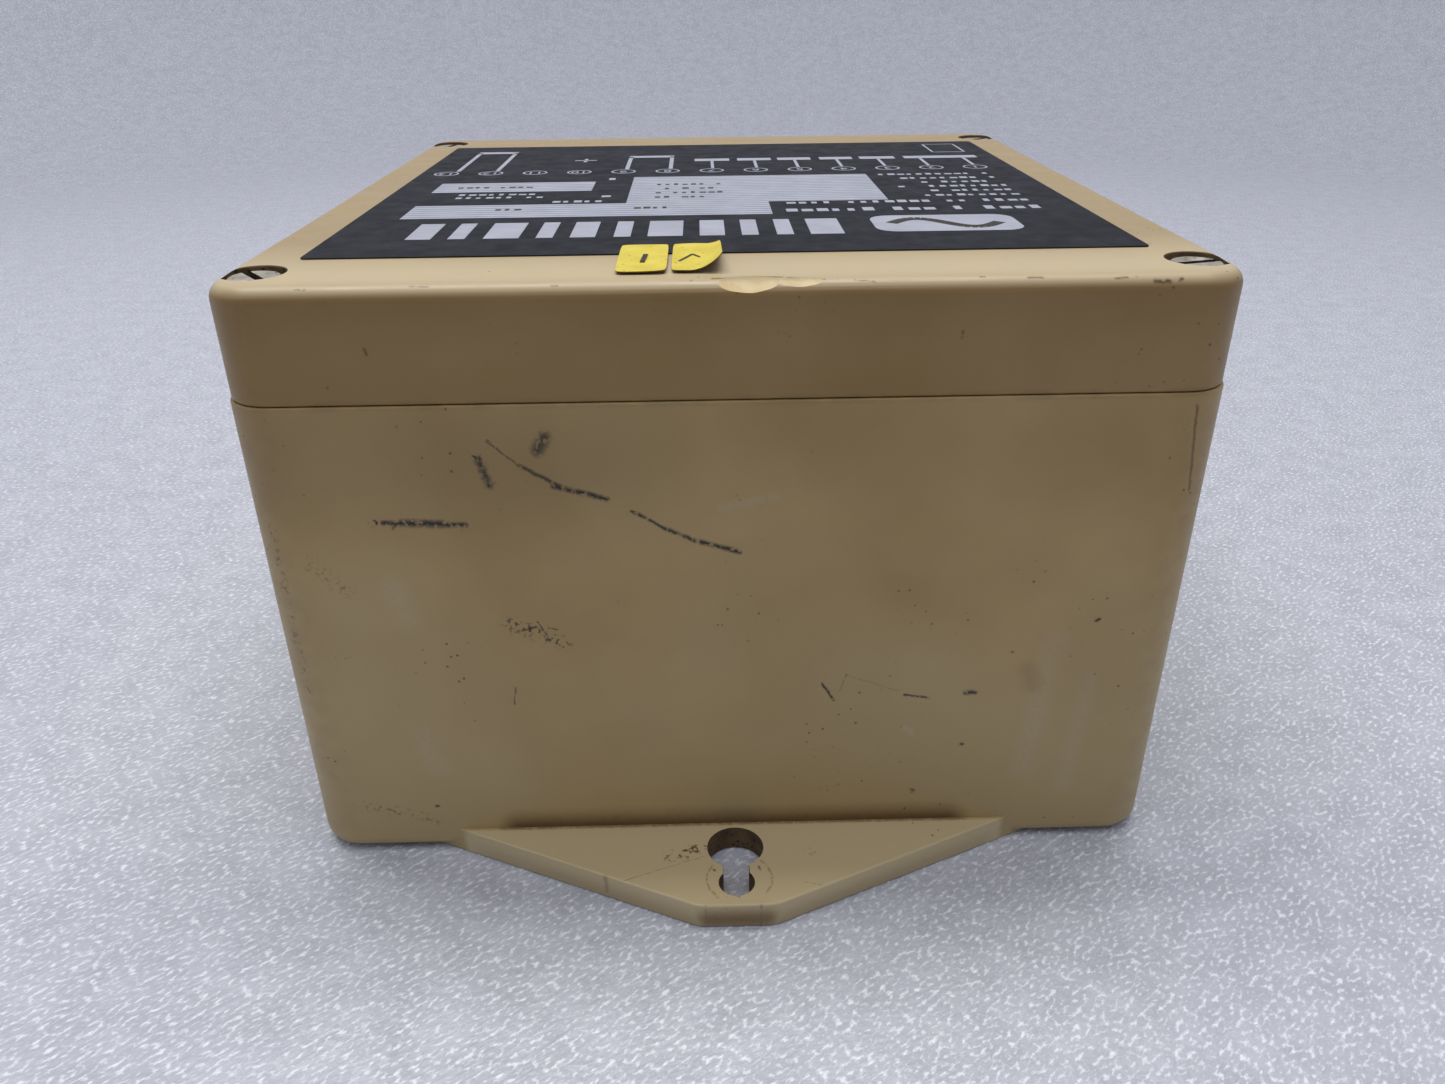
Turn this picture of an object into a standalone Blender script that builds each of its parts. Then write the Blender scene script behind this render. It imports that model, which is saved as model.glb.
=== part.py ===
"""Wall-mounting electrical power transducer: a moulded box with a screwed cover and its inner works.

The box lies on its back, as it does on a bench. The frame's origin is the centre of the flat back face
that goes against the wall. +Z points out of the wall, +Y points to the cable glands, which hang
downwards on the wall, and -Y points to the keyhole lug. All values are in metres.
"""

import math

import bmesh
import bpy

MM = 0.001
FIT_GAP = 0.3 * MM

# Outer box
BOX_WIDTH = 130 * MM
BOX_LENGTH = 140 * MM
BASE_HEIGHT = 73.2 * MM
COVER_HEIGHT = 15 * MM
CORNER_RADIUS = 6.8 * MM
BACK_EDGE_RADIUS = 2.6 * MM
COVER_EDGE_RADIUS = 2.2 * MM
COVER_INSET = 0.25 * MM
WALL = 4.5 * MM
FLOOR = 4 * MM
COVER_ROOF = 3.5 * MM
BOX_TOP = BASE_HEIGHT + COVER_HEIGHT
COVER_BOTTOM = BASE_HEIGHT + FIT_GAP

# Corner pillars, tongue, groove and gasket
PILLAR_X = 52 * MM
PILLAR_Y = 53.2 * MM
INNER_RADIUS = 2 * MM
PILLAR_RADIUS = 4.5 * MM
TONGUE_INNER, TONGUE_OUTER = 1.5 * MM, 3.0 * MM
GROOVE_INNER, GROOVE_OUTER = 1.0 * MM, 3.5 * MM
GASKET_INNER, GASKET_OUTER = 1.3 * MM, 3.2 * MM
TONGUE_TOP = BASE_HEIGHT + 1.4 * MM
GASKET_BOTTOM = TONGUE_TOP + FIT_GAP
GASKET_THICKNESS = 1.4 * MM
GROOVE_TOP = GASKET_BOTTOM + GASKET_THICKNESS + FIT_GAP

# Mounting lugs, seen from above
LUG_THICKNESS = 4 * MM
LUG_REACH = 17 * MM
LUG_ROOT_HALF = 42.7 * MM
LUG_TIP_HALF = 5.4 * MM
LUG_OVERLAP = 3.6 * MM
KEYHOLE_RADIUS = 4.2 * MM
KEYHOLE_FROM_FACE = 5.3 * MM
KEYHOLE_NECK = 3.8 * MM
KEYHOLE_LOBE_RADIUS = 2.6 * MM
KEYHOLE_LOBE_FROM_FACE = 12.5 * MM
SLOT_RADIUS = 2.5 * MM
SLOT_STRAIGHT = 4 * MM
SLOT_FROM_FACE = 8.5 * MM

# Cover screws, their captive washers and threaded inserts
SCREW_X = 60 * MM
SCREW_Y = 61.2 * MM
SCREW_SHANK_RADIUS = 1.95 * MM
SCREW_HEAD_RADIUS = 3.5 * MM
SCREW_HEAD_HEIGHT = 2.4 * MM
SCREW_LENGTH = 18.6 * MM
SCREW_RECESS_RADIUS = 4 * MM
SCREW_RECESS_DEPTH = 3.5 * MM
SCREW_HOLE_RADIUS = 2.3 * MM
WASHER_ROOM_RADIUS = 3.75 * MM
SCREW_TRAVEL = 7 * MM
WASHER_RADIUS = 3.45 * MM
WASHER_BORE_RADIUS = 2.25 * MM
WASHER_THICKNESS = 1 * MM
WASHER_BOTTOM = COVER_BOTTOM + FIT_GAP
WASHER_ROOM_TOP = WASHER_BOTTOM + WASHER_THICKNESS + SCREW_TRAVEL + FIT_GAP
SCREW_SEAT = BOX_TOP - SCREW_RECESS_DEPTH
INSERT_RADIUS = 3 * MM
INSERT_BORE_RADIUS = 2.25 * MM
INSERT_HEIGHT = 8 * MM
INSERT_TOP = BASE_HEIGHT - FIT_GAP
INSERT_HOLE_DEPTH = 12 * MM

# Labels on the cover
LABEL_WIDTH = 113 * MM
LABEL_LENGTH = 107.6 * MM
LABEL_CENTRE_Y = -0.6 * MM
LABEL_THICKNESS = 0.2 * MM
FOIL_GAP = 0.05 * MM
STICKER_WIDTH = 6.4 * MM
STICKER_LENGTH = 15.4 * MM
STICKER_LEFT_CENTRE = (-11 * MM, -57.8 * MM)
STICKER_RIGHT_CENTRE = (-4 * MM, -57.5 * MM)
STICKER_CURL = 2 * MM

# Cable glands in the wall that faces downwards when mounted
GLAND_X = 28 * MM
GLAND_Z = 40 * MM
GLAND_THREAD_RADIUS = 7.6 * MM
GLAND_FLANGE_FLATS = 20 * MM
GLAND_FLANGE_THICKNESS = 4 * MM
GLAND_COLLAR_RADIUS = 7 * MM
GLAND_COLLAR_LENGTH = 9 * MM
GLAND_BORE_RADIUS = 4.2 * MM
GLAND_SEAL_ROOM_RADIUS = 5.6 * MM
GLAND_SEAL_RADIUS = 5.3 * MM
GLAND_SEAL_BORE_RADIUS = 3.5 * MM
GLAND_SEAL_LENGTH = 7 * MM
GLAND_INNER_REACH = 8 * MM
GLAND_NUT_LENGTH = 13 * MM
GLAND_NUT_FLATS = 19 * MM
LOCKNUT_THICKNESS = 4 * MM

# Main circuit board and the moulded posts it stands on
BOARD_HALF_WIDTH = 57 * MM
BOARD_HALF_LENGTH = 51 * MM
BOARD_THICKNESS = 1.6 * MM
POST_X = 52.5 * MM
POST_Y = 45 * MM
POST_RADIUS = 4 * MM
POST_TOP = 14 * MM
BOARD_BOTTOM = POST_TOP + FIT_GAP
BOARD_TOP = BOARD_BOTTOM + BOARD_THICKNESS
ON_BOARD = BOARD_TOP + FIT_GAP
BOARD_SCREW_RADIUS = 1.4 * MM
BOARD_SCREW_HOLE_RADIUS = 1.7 * MM
BOARD_SCREW_HEAD_RADIUS = 2.8 * MM
BOARD_SCREW_HEAD_HEIGHT = 1.8 * MM
BOARD_SCREW_LENGTH = 9 * MM
POST_HOLE_DEPTH = 9 * MM

# Terminal block
TERMINAL_COUNT = 13
TERMINAL_PITCH = 7 * MM
TERMINAL_END_WALL = 0.8 * MM
TERMINAL_Y = 42 * MM
TERMINAL_DEPTH = 14 * MM
TERMINAL_HEIGHT = 18 * MM
TERMINAL_STEP_HEIGHT = 10 * MM
TERMINAL_STEP_DEPTH = 3 * MM
TERMINAL_WELL_RADIUS = 2.9 * MM
TERMINAL_WELL_DEPTH = 6 * MM
TERMINAL_SHANK_HOLE_RADIUS = 1.75 * MM
TERMINAL_SHANK_HOLE_DEPTH = 8 * MM
WIRE_ENTRY = 3.6 * MM
WIRE_ENTRY_Z = 5 * MM
TERMINAL_SCREW_RADIUS = 1.45 * MM
TERMINAL_HEAD_RADIUS = 2.6 * MM
TERMINAL_HEAD_HEIGHT = 2 * MM
TERMINAL_SCREW_LENGTH = 7 * MM

# Transformers: name, centre on the board, width of one lamination leg
TRANSFORMERS = (
    ("supply_transformer", (-31 * MM, -22 * MM), 7 * MM),
    ("current_transformer", (3 * MM, 14 * MM), 4.6 * MM),
    ("voltage_transformer", (36 * MM, 14 * MM), 4.6 * MM),
)

# Small parts on the board: name and centre
CAPACITORS = (("filter_capacitor", (2 * MM, -38 * MM)), ("output_capacitor", (18 * MM, -38 * MM)))
CAPACITOR_RADIUS = 6.2 * MM
CAPACITOR_HEIGHT = 25 * MM
CHIPS = (("multiplier_chip", (20 * MM, -18 * MM)), ("amplifier_chip", (42 * MM, -18 * MM)))
CHIP_SIZE = (19 * MM, 6.6 * MM, 4.4 * MM)
TRIMMERS = (("zero_trimmer", (36 * MM, -40 * MM)), ("span_trimmer", (49 * MM, -31 * MM)))
TRIMMER_SIDE = 9.6 * MM
TRIMMER_HEIGHT = 7 * MM
TRIMMER_WELL_RADIUS = 3.6 * MM
TRIMMER_WELL_DEPTH = 3 * MM
ADJUSTER_RADIUS = 3.3 * MM
ADJUSTER_HEIGHT = 3.2 * MM

ROUND_STEPS = 24
SMALL_STEPS = 12
THROUGH = 20 * MM

# Material name: base colour, roughness, metallic
FINISHES = {
    "beige_moulding": ((0.56, 0.42, 0.23), 0.5, 0.0),
    "grey_moulding": ((0.16, 0.17, 0.18), 0.5, 0.0),
    "black_moulding": ((0.03, 0.03, 0.03), 0.45, 0.0),
    "black_rubber": ((0.02, 0.02, 0.02), 0.8, 0.0),
    "zinc_steel": ((0.45, 0.45, 0.46), 0.35, 1.0),
    "brass": ((0.7, 0.5, 0.2), 0.35, 1.0),
    "label_foil": ((0.05, 0.05, 0.06), 0.4, 0.0),
    "yellow_paper": ((0.75, 0.62, 0.08), 0.7, 0.0),
    "white_nylon": ((0.7, 0.68, 0.6), 0.5, 0.0),
    "circuit_laminate": ((0.08, 0.2, 0.07), 0.45, 0.0),
    "lamination_steel": ((0.22, 0.21, 0.2), 0.5, 0.9),
    "winding_tape": ((0.62, 0.5, 0.16), 0.5, 0.0),
    "blue_sleeve": ((0.03, 0.08, 0.24), 0.4, 0.0),
}

OBJECT_NAME = "wall_power_transducer"
CORNERS = (
    ("front_left", -1, -1),
    ("front_right", 1, -1),
    ("rear_left", -1, 1),
    ("rear_right", 1, 1),
)
# Where each cover screw's slot points when it is tight, in degrees from +X
SLOT_ANGLES = {"front_left": 128, "front_right": 15, "rear_left": 75, "rear_right": 40}


def clear_scene():
    """Remove every object of the file the script runs in."""
    for item in list(bpy.data.objects):
        bpy.data.objects.remove(item, do_unlink=True)


def new_collection(name):
    """Return a new collection linked to the scene."""
    collection = bpy.data.collections.new(name)
    bpy.context.scene.collection.children.link(collection)
    return collection


def finish(name):
    """Return the material of that name, made on first use."""
    found = bpy.data.materials.get(name)
    if found:
        return found
    colour, roughness, metallic = FINISHES[name]
    material = bpy.data.materials.new(name)
    material.use_nodes = True
    shader = material.node_tree.nodes["Principled BSDF"]
    shader.inputs["Base Color"].default_value = (*colour, 1)
    shader.inputs["Roughness"].default_value = roughness
    shader.inputs["Metallic"].default_value = metallic
    material.diffuse_color = (*colour, 1)
    return material


def place(name, mesh, location, material_name=None):
    """Link a mesh as a part, or as a cutter when it has no material."""
    item = bpy.data.objects.new(name, mesh)
    item.location = location
    if material_name:
        mesh.materials.append(finish(material_name))
        bpy.data.collections[OBJECT_NAME].objects.link(item)
        return item
    bpy.data.collections["cutters"].objects.link(item)
    item.hide_render = True
    item.display_type = "WIRE"
    return item


def block(name, size, centre, material_name=None):
    """Return a box of the given size about its centre."""
    mesh = bpy.data.meshes.new(name)
    shape = bmesh.new()
    bmesh.ops.create_cube(shape, size=1)
    bmesh.ops.scale(shape, vec=size, verts=shape.verts)
    shape.to_mesh(mesh)
    shape.free()
    return place(name, mesh, centre, material_name)


def cylinder(name, radius, bottom, height, centre, material_name=None, steps=ROUND_STEPS):
    """Return an upright cylinder standing on the height called bottom."""
    mesh = bpy.data.meshes.new(name)
    shape = bmesh.new()
    bmesh.ops.create_cone(
        shape, cap_ends=True, segments=steps, radius1=radius, radius2=radius, depth=height
    )
    shape.to_mesh(mesh)
    shape.free()
    location = (centre[0], centre[1], bottom + height / 2)
    return place(name, mesh, location, material_name)


def rounded_block(name, size, bottom, corner, rim=0, rim_side=0, material_name=None):
    """Return a box with rounded upright edges; rim_side 1 also rounds the top rim, -1 the bottom."""
    mesh = bpy.data.meshes.new(name)
    shape = bmesh.new()
    bmesh.ops.create_cube(shape, size=1)
    bmesh.ops.scale(shape, vec=size, verts=shape.verts)
    upright = [e for e in shape.edges if abs(e.verts[0].co.z - e.verts[1].co.z) > size[2] / 2]
    steps = 6 if rim_side else 3
    bmesh.ops.bevel(shape, geom=upright, offset=corner, segments=steps, profile=0.5, affect="EDGES")
    if rim_side:
        round_rim(shape, rim_side * size[2] / 2, rim)
    bmesh.ops.recalc_face_normals(shape, faces=shape.faces)
    shape.to_mesh(mesh)
    shape.free()
    return place(name, mesh, (0, 0, bottom + size[2] / 2), material_name)


def round_rim(shape, rim_z, rim):
    """Round the closed rim of edges at one height."""
    border = [e for e in shape.edges if all(abs(v.co.z - rim_z) < 1e-6 for v in e.verts)]
    bmesh.ops.bevel(shape, geom=border, offset=rim, segments=3, profile=0.5, affect="EDGES")


def flat_solid(name, outlines, bottom, top, material_name=None):
    """Return a plate between two heights; further outlines are holes in the first."""
    curve = bpy.data.curves.new(name, "CURVE")
    curve.dimensions = "2D"
    curve.fill_mode = "BOTH"
    curve.extrude = (top - bottom) / 2
    for outline in outlines:
        spline = curve.splines.new("POLY")
        spline.points.add(len(outline) - 1)
        for point, (x, y) in zip(spline.points, outline):
            point.co = (x, y, 0, 1)
        spline.use_cyclic_u = True
    drawn = bpy.data.objects.new(name, curve)
    drawn.location = (0, 0, (top + bottom) / 2)
    bpy.context.scene.collection.objects.link(drawn)
    bpy.context.view_layer.update()
    depsgraph = bpy.context.evaluated_depsgraph_get()
    mesh = bpy.data.meshes.new_from_object(drawn.evaluated_get(depsgraph))
    placed = drawn.matrix_world.copy()
    bpy.data.objects.remove(drawn, do_unlink=True)
    shape = bmesh.new()
    shape.from_mesh(mesh)
    bmesh.ops.remove_doubles(shape, verts=shape.verts, dist=0.001 * MM)
    bmesh.ops.dissolve_limit(shape, angle_limit=0.001, verts=shape.verts, edges=shape.edges)
    bmesh.ops.recalc_face_normals(shape, faces=shape.faces)
    shape.to_mesh(mesh)
    shape.free()
    mesh.name = name
    solid = place(name, mesh, (0, 0, 0), material_name)
    solid.matrix_world = placed
    return solid


def turned(name, profile, location, material_name=None, steps=ROUND_STEPS, ring=False):
    """Return a turned piece from (radius, height) points; a ring's profile closes on itself."""
    mesh = bpy.data.meshes.new(name)
    shape = bmesh.new()
    points = [shape.verts.new((radius, 0, height)) for radius, height in profile]
    pairs = list(zip(points, points[1:]))
    if ring:
        pairs.append((points[-1], points[0]))
    for pair in pairs:
        shape.edges.new(pair)
    shape.to_mesh(mesh)
    shape.free()
    item = place(name, mesh, location, material_name)
    screw = item.modifiers.new("turn", "SCREW")
    screw.axis = "Z"
    screw.steps = steps
    screw.render_steps = steps
    screw.use_merge_vertices = True
    screw.merge_threshold = 0.01 * MM
    screw.use_smooth_shade = False
    return item


def combine(item, other, operation):
    """Cut another object from this one, or join it to this one."""
    modifier = item.modifiers.new(operation.lower(), "BOOLEAN")
    modifier.operation = operation
    modifier.object = other
    modifier.solver = "EXACT"


def arc(centre, radius, start, end, steps):
    """Return points on an arc between two angles in radians, both ends included."""
    points = []
    for step in range(steps + 1):
        angle = start + (end - start) * step / steps
        points.append((centre[0] + radius * math.cos(angle), centre[1] + radius * math.sin(angle)))
    return points


def circle(centre, radius, steps=ROUND_STEPS):
    """Return the points of a full circle."""
    return arc(centre, radius, 0, 2 * math.pi, steps)[:-1]


def hexagon(flats):
    """Return a hexagon with the given width across its flats."""
    return circle((0, 0), flats / math.sqrt(3), 6)


def notched_outline(outward):
    """Return a path along the rim, outward of the inner space, with a notch at each pillar.

    Each quarter has three arcs: two convex ones beside the pillar and a concave one at its foot.
    """
    half_x = BOX_WIDTH / 2 - WALL + outward
    half_y = BOX_LENGTH / 2 - WALL + outward
    notch_x = PILLAR_X + outward
    notch_y = PILLAR_Y + outward
    convex = INNER_RADIUS + outward
    concave = PILLAR_RADIUS - outward
    quarter = arc((half_x - convex, notch_y - convex), convex, 0, math.pi / 2, 3)
    quarter += arc((notch_x + concave, notch_y + concave), concave, -math.pi / 2, -math.pi, 4)
    quarter += arc((notch_x - convex, half_y - convex), convex, 0, math.pi / 2, 3)
    mirrored = [(-x, y) for x, y in reversed(quarter)]
    upper = quarter + mirrored
    return upper + [(-x, -y) for x, y in upper]


def lug_outline(side):
    """Return a lug's outline; side is -1 at the keyhole end and 1 at the gland end."""
    face = BOX_LENGTH / 2
    buried_half = LUG_ROOT_HALF + LUG_OVERLAP * (LUG_ROOT_HALF - LUG_TIP_HALF) / LUG_REACH
    points = [
        (-buried_half, face - LUG_OVERLAP),
        (-LUG_TIP_HALF, face + LUG_REACH),
        (LUG_TIP_HALF, face + LUG_REACH),
        (buried_half, face - LUG_OVERLAP),
    ]
    return [(x, side * y) for x, y in points]


def keyhole_outline():
    """Return the keyhole: a large hole near the box, a neck and a round end near the tip."""
    face = -BOX_LENGTH / 2
    hole = (0, face - KEYHOLE_FROM_FACE)
    lobe = (0, face - KEYHOLE_LOBE_FROM_FACE)
    hole_cut = math.asin(KEYHOLE_NECK / 2 / KEYHOLE_RADIUS)
    lobe_cut = math.asin(KEYHOLE_NECK / 2 / KEYHOLE_LOBE_RADIUS)
    down = -math.pi / 2
    outline = arc(hole, KEYHOLE_RADIUS, down + hole_cut, down + 2 * math.pi - hole_cut, 20)
    outline += arc(lobe, KEYHOLE_LOBE_RADIUS, math.pi / 2 + lobe_cut, 2.5 * math.pi - lobe_cut, 12)
    return outline


def slot_outline():
    """Return the straight slot in the lug at the gland end."""
    centre_y = BOX_LENGTH / 2 + SLOT_FROM_FACE
    half = SLOT_STRAIGHT / 2
    outline = arc((0, centre_y + half), SLOT_RADIUS, 0, math.pi, 8)
    outline += arc((0, centre_y - half), SLOT_RADIUS, math.pi, 2 * math.pi, 8)
    return outline


def hollow(item, name, bottom, top):
    """Cut the inner space between two heights, leaving a pillar in each corner."""
    half_x = BOX_WIDTH / 2 - WALL
    half_y = BOX_LENGTH / 2 - WALL
    for part_name, part_x, part_y in (("wide", half_x, PILLAR_Y), ("long", PILLAR_X, half_y)):
        size = (2 * part_x, 2 * part_y, top - bottom)
        cutter = rounded_block(f"{name}_{part_name}", size, bottom, INNER_RADIUS)
        combine(item, cutter, "DIFFERENCE")


def make_base():
    """Make the deep housing with its lugs, pillars, rim tongue, board posts and holes."""
    size = (BOX_WIDTH, BOX_LENGTH, BASE_HEIGHT)
    base = rounded_block(
        "base_housing", size, 0, CORNER_RADIUS, BACK_EDGE_RADIUS, -1, "beige_moulding"
    )
    for side, name in ((-1, "keyhole"), (1, "slotted")):
        lug = flat_solid(f"{name}_lug", [lug_outline(side)], 0, LUG_THICKNESS)
        combine(base, lug, "UNION")
    hollow(base, "housing_cavity", FLOOR, BASE_HEIGHT + THROUGH)
    rings = [notched_outline(TONGUE_OUTER), notched_outline(TONGUE_INNER)]
    tongue = flat_solid("rim_tongue", rings, BASE_HEIGHT - LUG_OVERLAP, TONGUE_TOP)
    combine(base, tongue, "UNION")
    cut_lug_holes(base)
    add_board_posts(base)
    cut_insert_holes(base)
    cut_gland_holes(base)
    return base


def cut_lug_holes(base):
    """Cut the keyhole in one lug and the straight slot in the other."""
    keyhole = flat_solid("keyhole_cutter", [keyhole_outline()], -THROUGH, THROUGH)
    combine(base, keyhole, "DIFFERENCE")
    slot = flat_solid("slot_cutter", [slot_outline()], -THROUGH, THROUGH)
    combine(base, slot, "DIFFERENCE")


def add_board_posts(base):
    """Add the four posts that carry the circuit board, each with a blind screw hole."""
    for corner, side_x, side_y in CORNERS:
        centre = (side_x * POST_X, side_y * POST_Y)
        buried = FLOOR / 2
        post = cylinder(f"post_{corner}", POST_RADIUS, buried, POST_TOP - buried, centre)
        combine(base, post, "UNION")
        hole_bottom = POST_TOP - POST_HOLE_DEPTH
        hole = cylinder(
            f"post_hole_{corner}", BOARD_SCREW_HOLE_RADIUS, hole_bottom, THROUGH, centre,
            steps=SMALL_STEPS,
        )
        combine(base, hole, "DIFFERENCE")


def cut_insert_holes(base):
    """Cut the blind holes in the pillars for the threaded inserts."""
    for corner, side_x, side_y in CORNERS:
        centre = (side_x * SCREW_X, side_y * SCREW_Y)
        bottom = BASE_HEIGHT - INSERT_HOLE_DEPTH
        hole = cylinder(f"insert_hole_{corner}", INSERT_RADIUS + FIT_GAP, bottom, THROUGH, centre)
        combine(base, hole, "DIFFERENCE")


def cut_gland_holes(base):
    """Cut the two gland holes through the wall at the gland end."""
    for name, side in (("left", -1), ("right", 1)):
        radius = GLAND_THREAD_RADIUS + FIT_GAP
        hole = cylinder(f"gland_hole_{name}", radius, 0, THROUGH, (0, 0))
        hole.location = (side * GLAND_X, BOX_LENGTH / 2, GLAND_Z)
        hole.rotation_euler = (math.pi / 2, 0, 0)
        combine(base, hole, "DIFFERENCE")


def make_cover():
    """Make the shallow cover with its gasket groove, inner space and stepped screw holes."""
    size = (
        BOX_WIDTH - 2 * COVER_INSET,
        BOX_LENGTH - 2 * COVER_INSET,
        BOX_TOP - COVER_BOTTOM,
    )
    corner = CORNER_RADIUS - COVER_INSET
    cover = rounded_block(
        "cover", size, COVER_BOTTOM, corner, COVER_EDGE_RADIUS, 1, "beige_moulding"
    )
    hollow(cover, "cover_cavity", 0, BOX_TOP - COVER_ROOF)
    rings = [notched_outline(GROOVE_OUTER), notched_outline(GROOVE_INNER)]
    groove = flat_solid("gasket_groove", rings, COVER_BOTTOM - THROUGH, GROOVE_TOP)
    combine(cover, groove, "DIFFERENCE")
    for corner_name, side_x, side_y in CORNERS:
        centre = (side_x * SCREW_X, side_y * SCREW_Y)
        for step, radius, bottom, height in (
            ("recess", SCREW_RECESS_RADIUS, SCREW_SEAT, THROUGH),
            ("hole", SCREW_HOLE_RADIUS, COVER_BOTTOM, COVER_HEIGHT + THROUGH),
            ("washer_room", WASHER_ROOM_RADIUS, WASHER_ROOM_TOP - THROUGH, THROUGH),
        ):
            cutter = cylinder(f"{step}_{corner_name}", radius, bottom, height, centre)
            combine(cover, cutter, "DIFFERENCE")
    return cover


def make_gasket():
    """Make the rubber gasket that lies in the cover's groove."""
    rings = [notched_outline(GASKET_OUTER), notched_outline(GASKET_INNER)]
    top = GASKET_BOTTOM + GASKET_THICKNESS
    flat_solid("cover_gasket", rings, GASKET_BOTTOM, top, "black_rubber")


def slotted_screw(name, centre, seat, sizes, slot, slot_angle=0, steps=SMALL_STEPS):
    """Make a slotted cheese-head screw whose head rests on the seat height.

    sizes holds the shank radius, shank length, head radius and head height; slot holds the width
    and depth of the slot.
    """
    shank_radius, shank_length, head_radius, head_height = sizes
    slot_width, slot_depth = slot
    point = shank_radius * 0.6
    profile = [
        (0, head_height),
        (head_radius - head_height * 0.15, head_height),
        (head_radius, head_height * 0.85),
        (head_radius, 0),
        (shank_radius, 0),
        (shank_radius, -shank_length + point * 0.8),
        (point, -shank_length),
        (0, -shank_length),
    ]
    screw = turned(name, profile, (centre[0], centre[1], seat), "zinc_steel", steps)
    cut_height = 2 * slot_depth
    slot_size = (4 * head_radius, slot_width, cut_height)
    cutter = block(f"{name}_slot", slot_size, (centre[0], centre[1], seat + head_height))
    cutter.rotation_euler = (0, 0, math.radians(slot_angle))
    combine(screw, cutter, "DIFFERENCE")
    return screw


def ring(name, centre, bottom, height, outer, inner, material_name, steps=ROUND_STEPS):
    """Make a plain upright ring."""
    profile = [(outer, height), (outer, 0), (inner, 0), (inner, height)]
    return turned(name, profile, (centre[0], centre[1], bottom), material_name, steps, ring=True)


def make_cover_fixings():
    """Make the four captive screws, their washers and the inserts they turn in."""
    sizes = (SCREW_SHANK_RADIUS, SCREW_LENGTH, SCREW_HEAD_RADIUS, SCREW_HEAD_HEIGHT)
    for corner, side_x, side_y in CORNERS:
        centre = (side_x * SCREW_X, side_y * SCREW_Y)
        slotted_screw(
            f"cover_screw_{corner}", centre, SCREW_SEAT + FIT_GAP, sizes, (1.2 * MM, 1.2 * MM),
            SLOT_ANGLES[corner], ROUND_STEPS,
        )
        ring(
            f"captive_washer_{corner}", centre, WASHER_BOTTOM, WASHER_THICKNESS, WASHER_RADIUS,
            WASHER_BORE_RADIUS, "white_nylon",
        )
        ring(
            f"thread_insert_{corner}", centre, INSERT_TOP - INSERT_HEIGHT, INSERT_HEIGHT,
            INSERT_RADIUS, INSERT_BORE_RADIUS, "brass",
        )


def make_labels():
    """Make the rating label and the two number stickers that overlap its front edge."""
    label_z = BOX_TOP + FOIL_GAP + LABEL_THICKNESS / 2
    size = (LABEL_WIDTH, LABEL_LENGTH, LABEL_THICKNESS)
    block("rating_label", size, (0, LABEL_CENTRE_Y, label_z), "label_foil")
    sticker_z = label_z + LABEL_THICKNESS + FOIL_GAP
    size = (STICKER_WIDTH, STICKER_LENGTH, LABEL_THICKNESS)
    block("number_sticker_left", size, (*STICKER_LEFT_CENTRE, sticker_z), "yellow_paper")
    bottom = sticker_z - LABEL_THICKNESS / 2
    make_curled_sticker("number_sticker_right", (*STICKER_RIGHT_CENTRE, bottom))


def make_curled_sticker(name, location):
    """Make a sticker whose right side lifts off in a curl, highest at its front corner."""
    mesh = bpy.data.meshes.new(name)
    shape = bmesh.new()
    bmesh.ops.create_grid(shape, x_segments=8, y_segments=4, size=0.5)
    for point in shape.verts:
        lifted = max(0, point.co.x - point.co.y * 0.35)
        point.co.z = STICKER_CURL * (lifted / 0.675) ** 2
        point.co.x *= STICKER_WIDTH
        point.co.y *= STICKER_LENGTH
    shape.to_mesh(mesh)
    shape.free()
    sticker = place(name, mesh, location, "yellow_paper")
    thickness = sticker.modifiers.new("thickness", "SOLIDIFY")
    thickness.thickness = LABEL_THICKNESS
    thickness.offset = 1


def along_y(item, x, y):
    """Turn an upright piece so that its axis points along +Y from the given place."""
    item.location = (x, y, GLAND_Z)
    item.rotation_euler = (-math.pi / 2, 0, 0)


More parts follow.
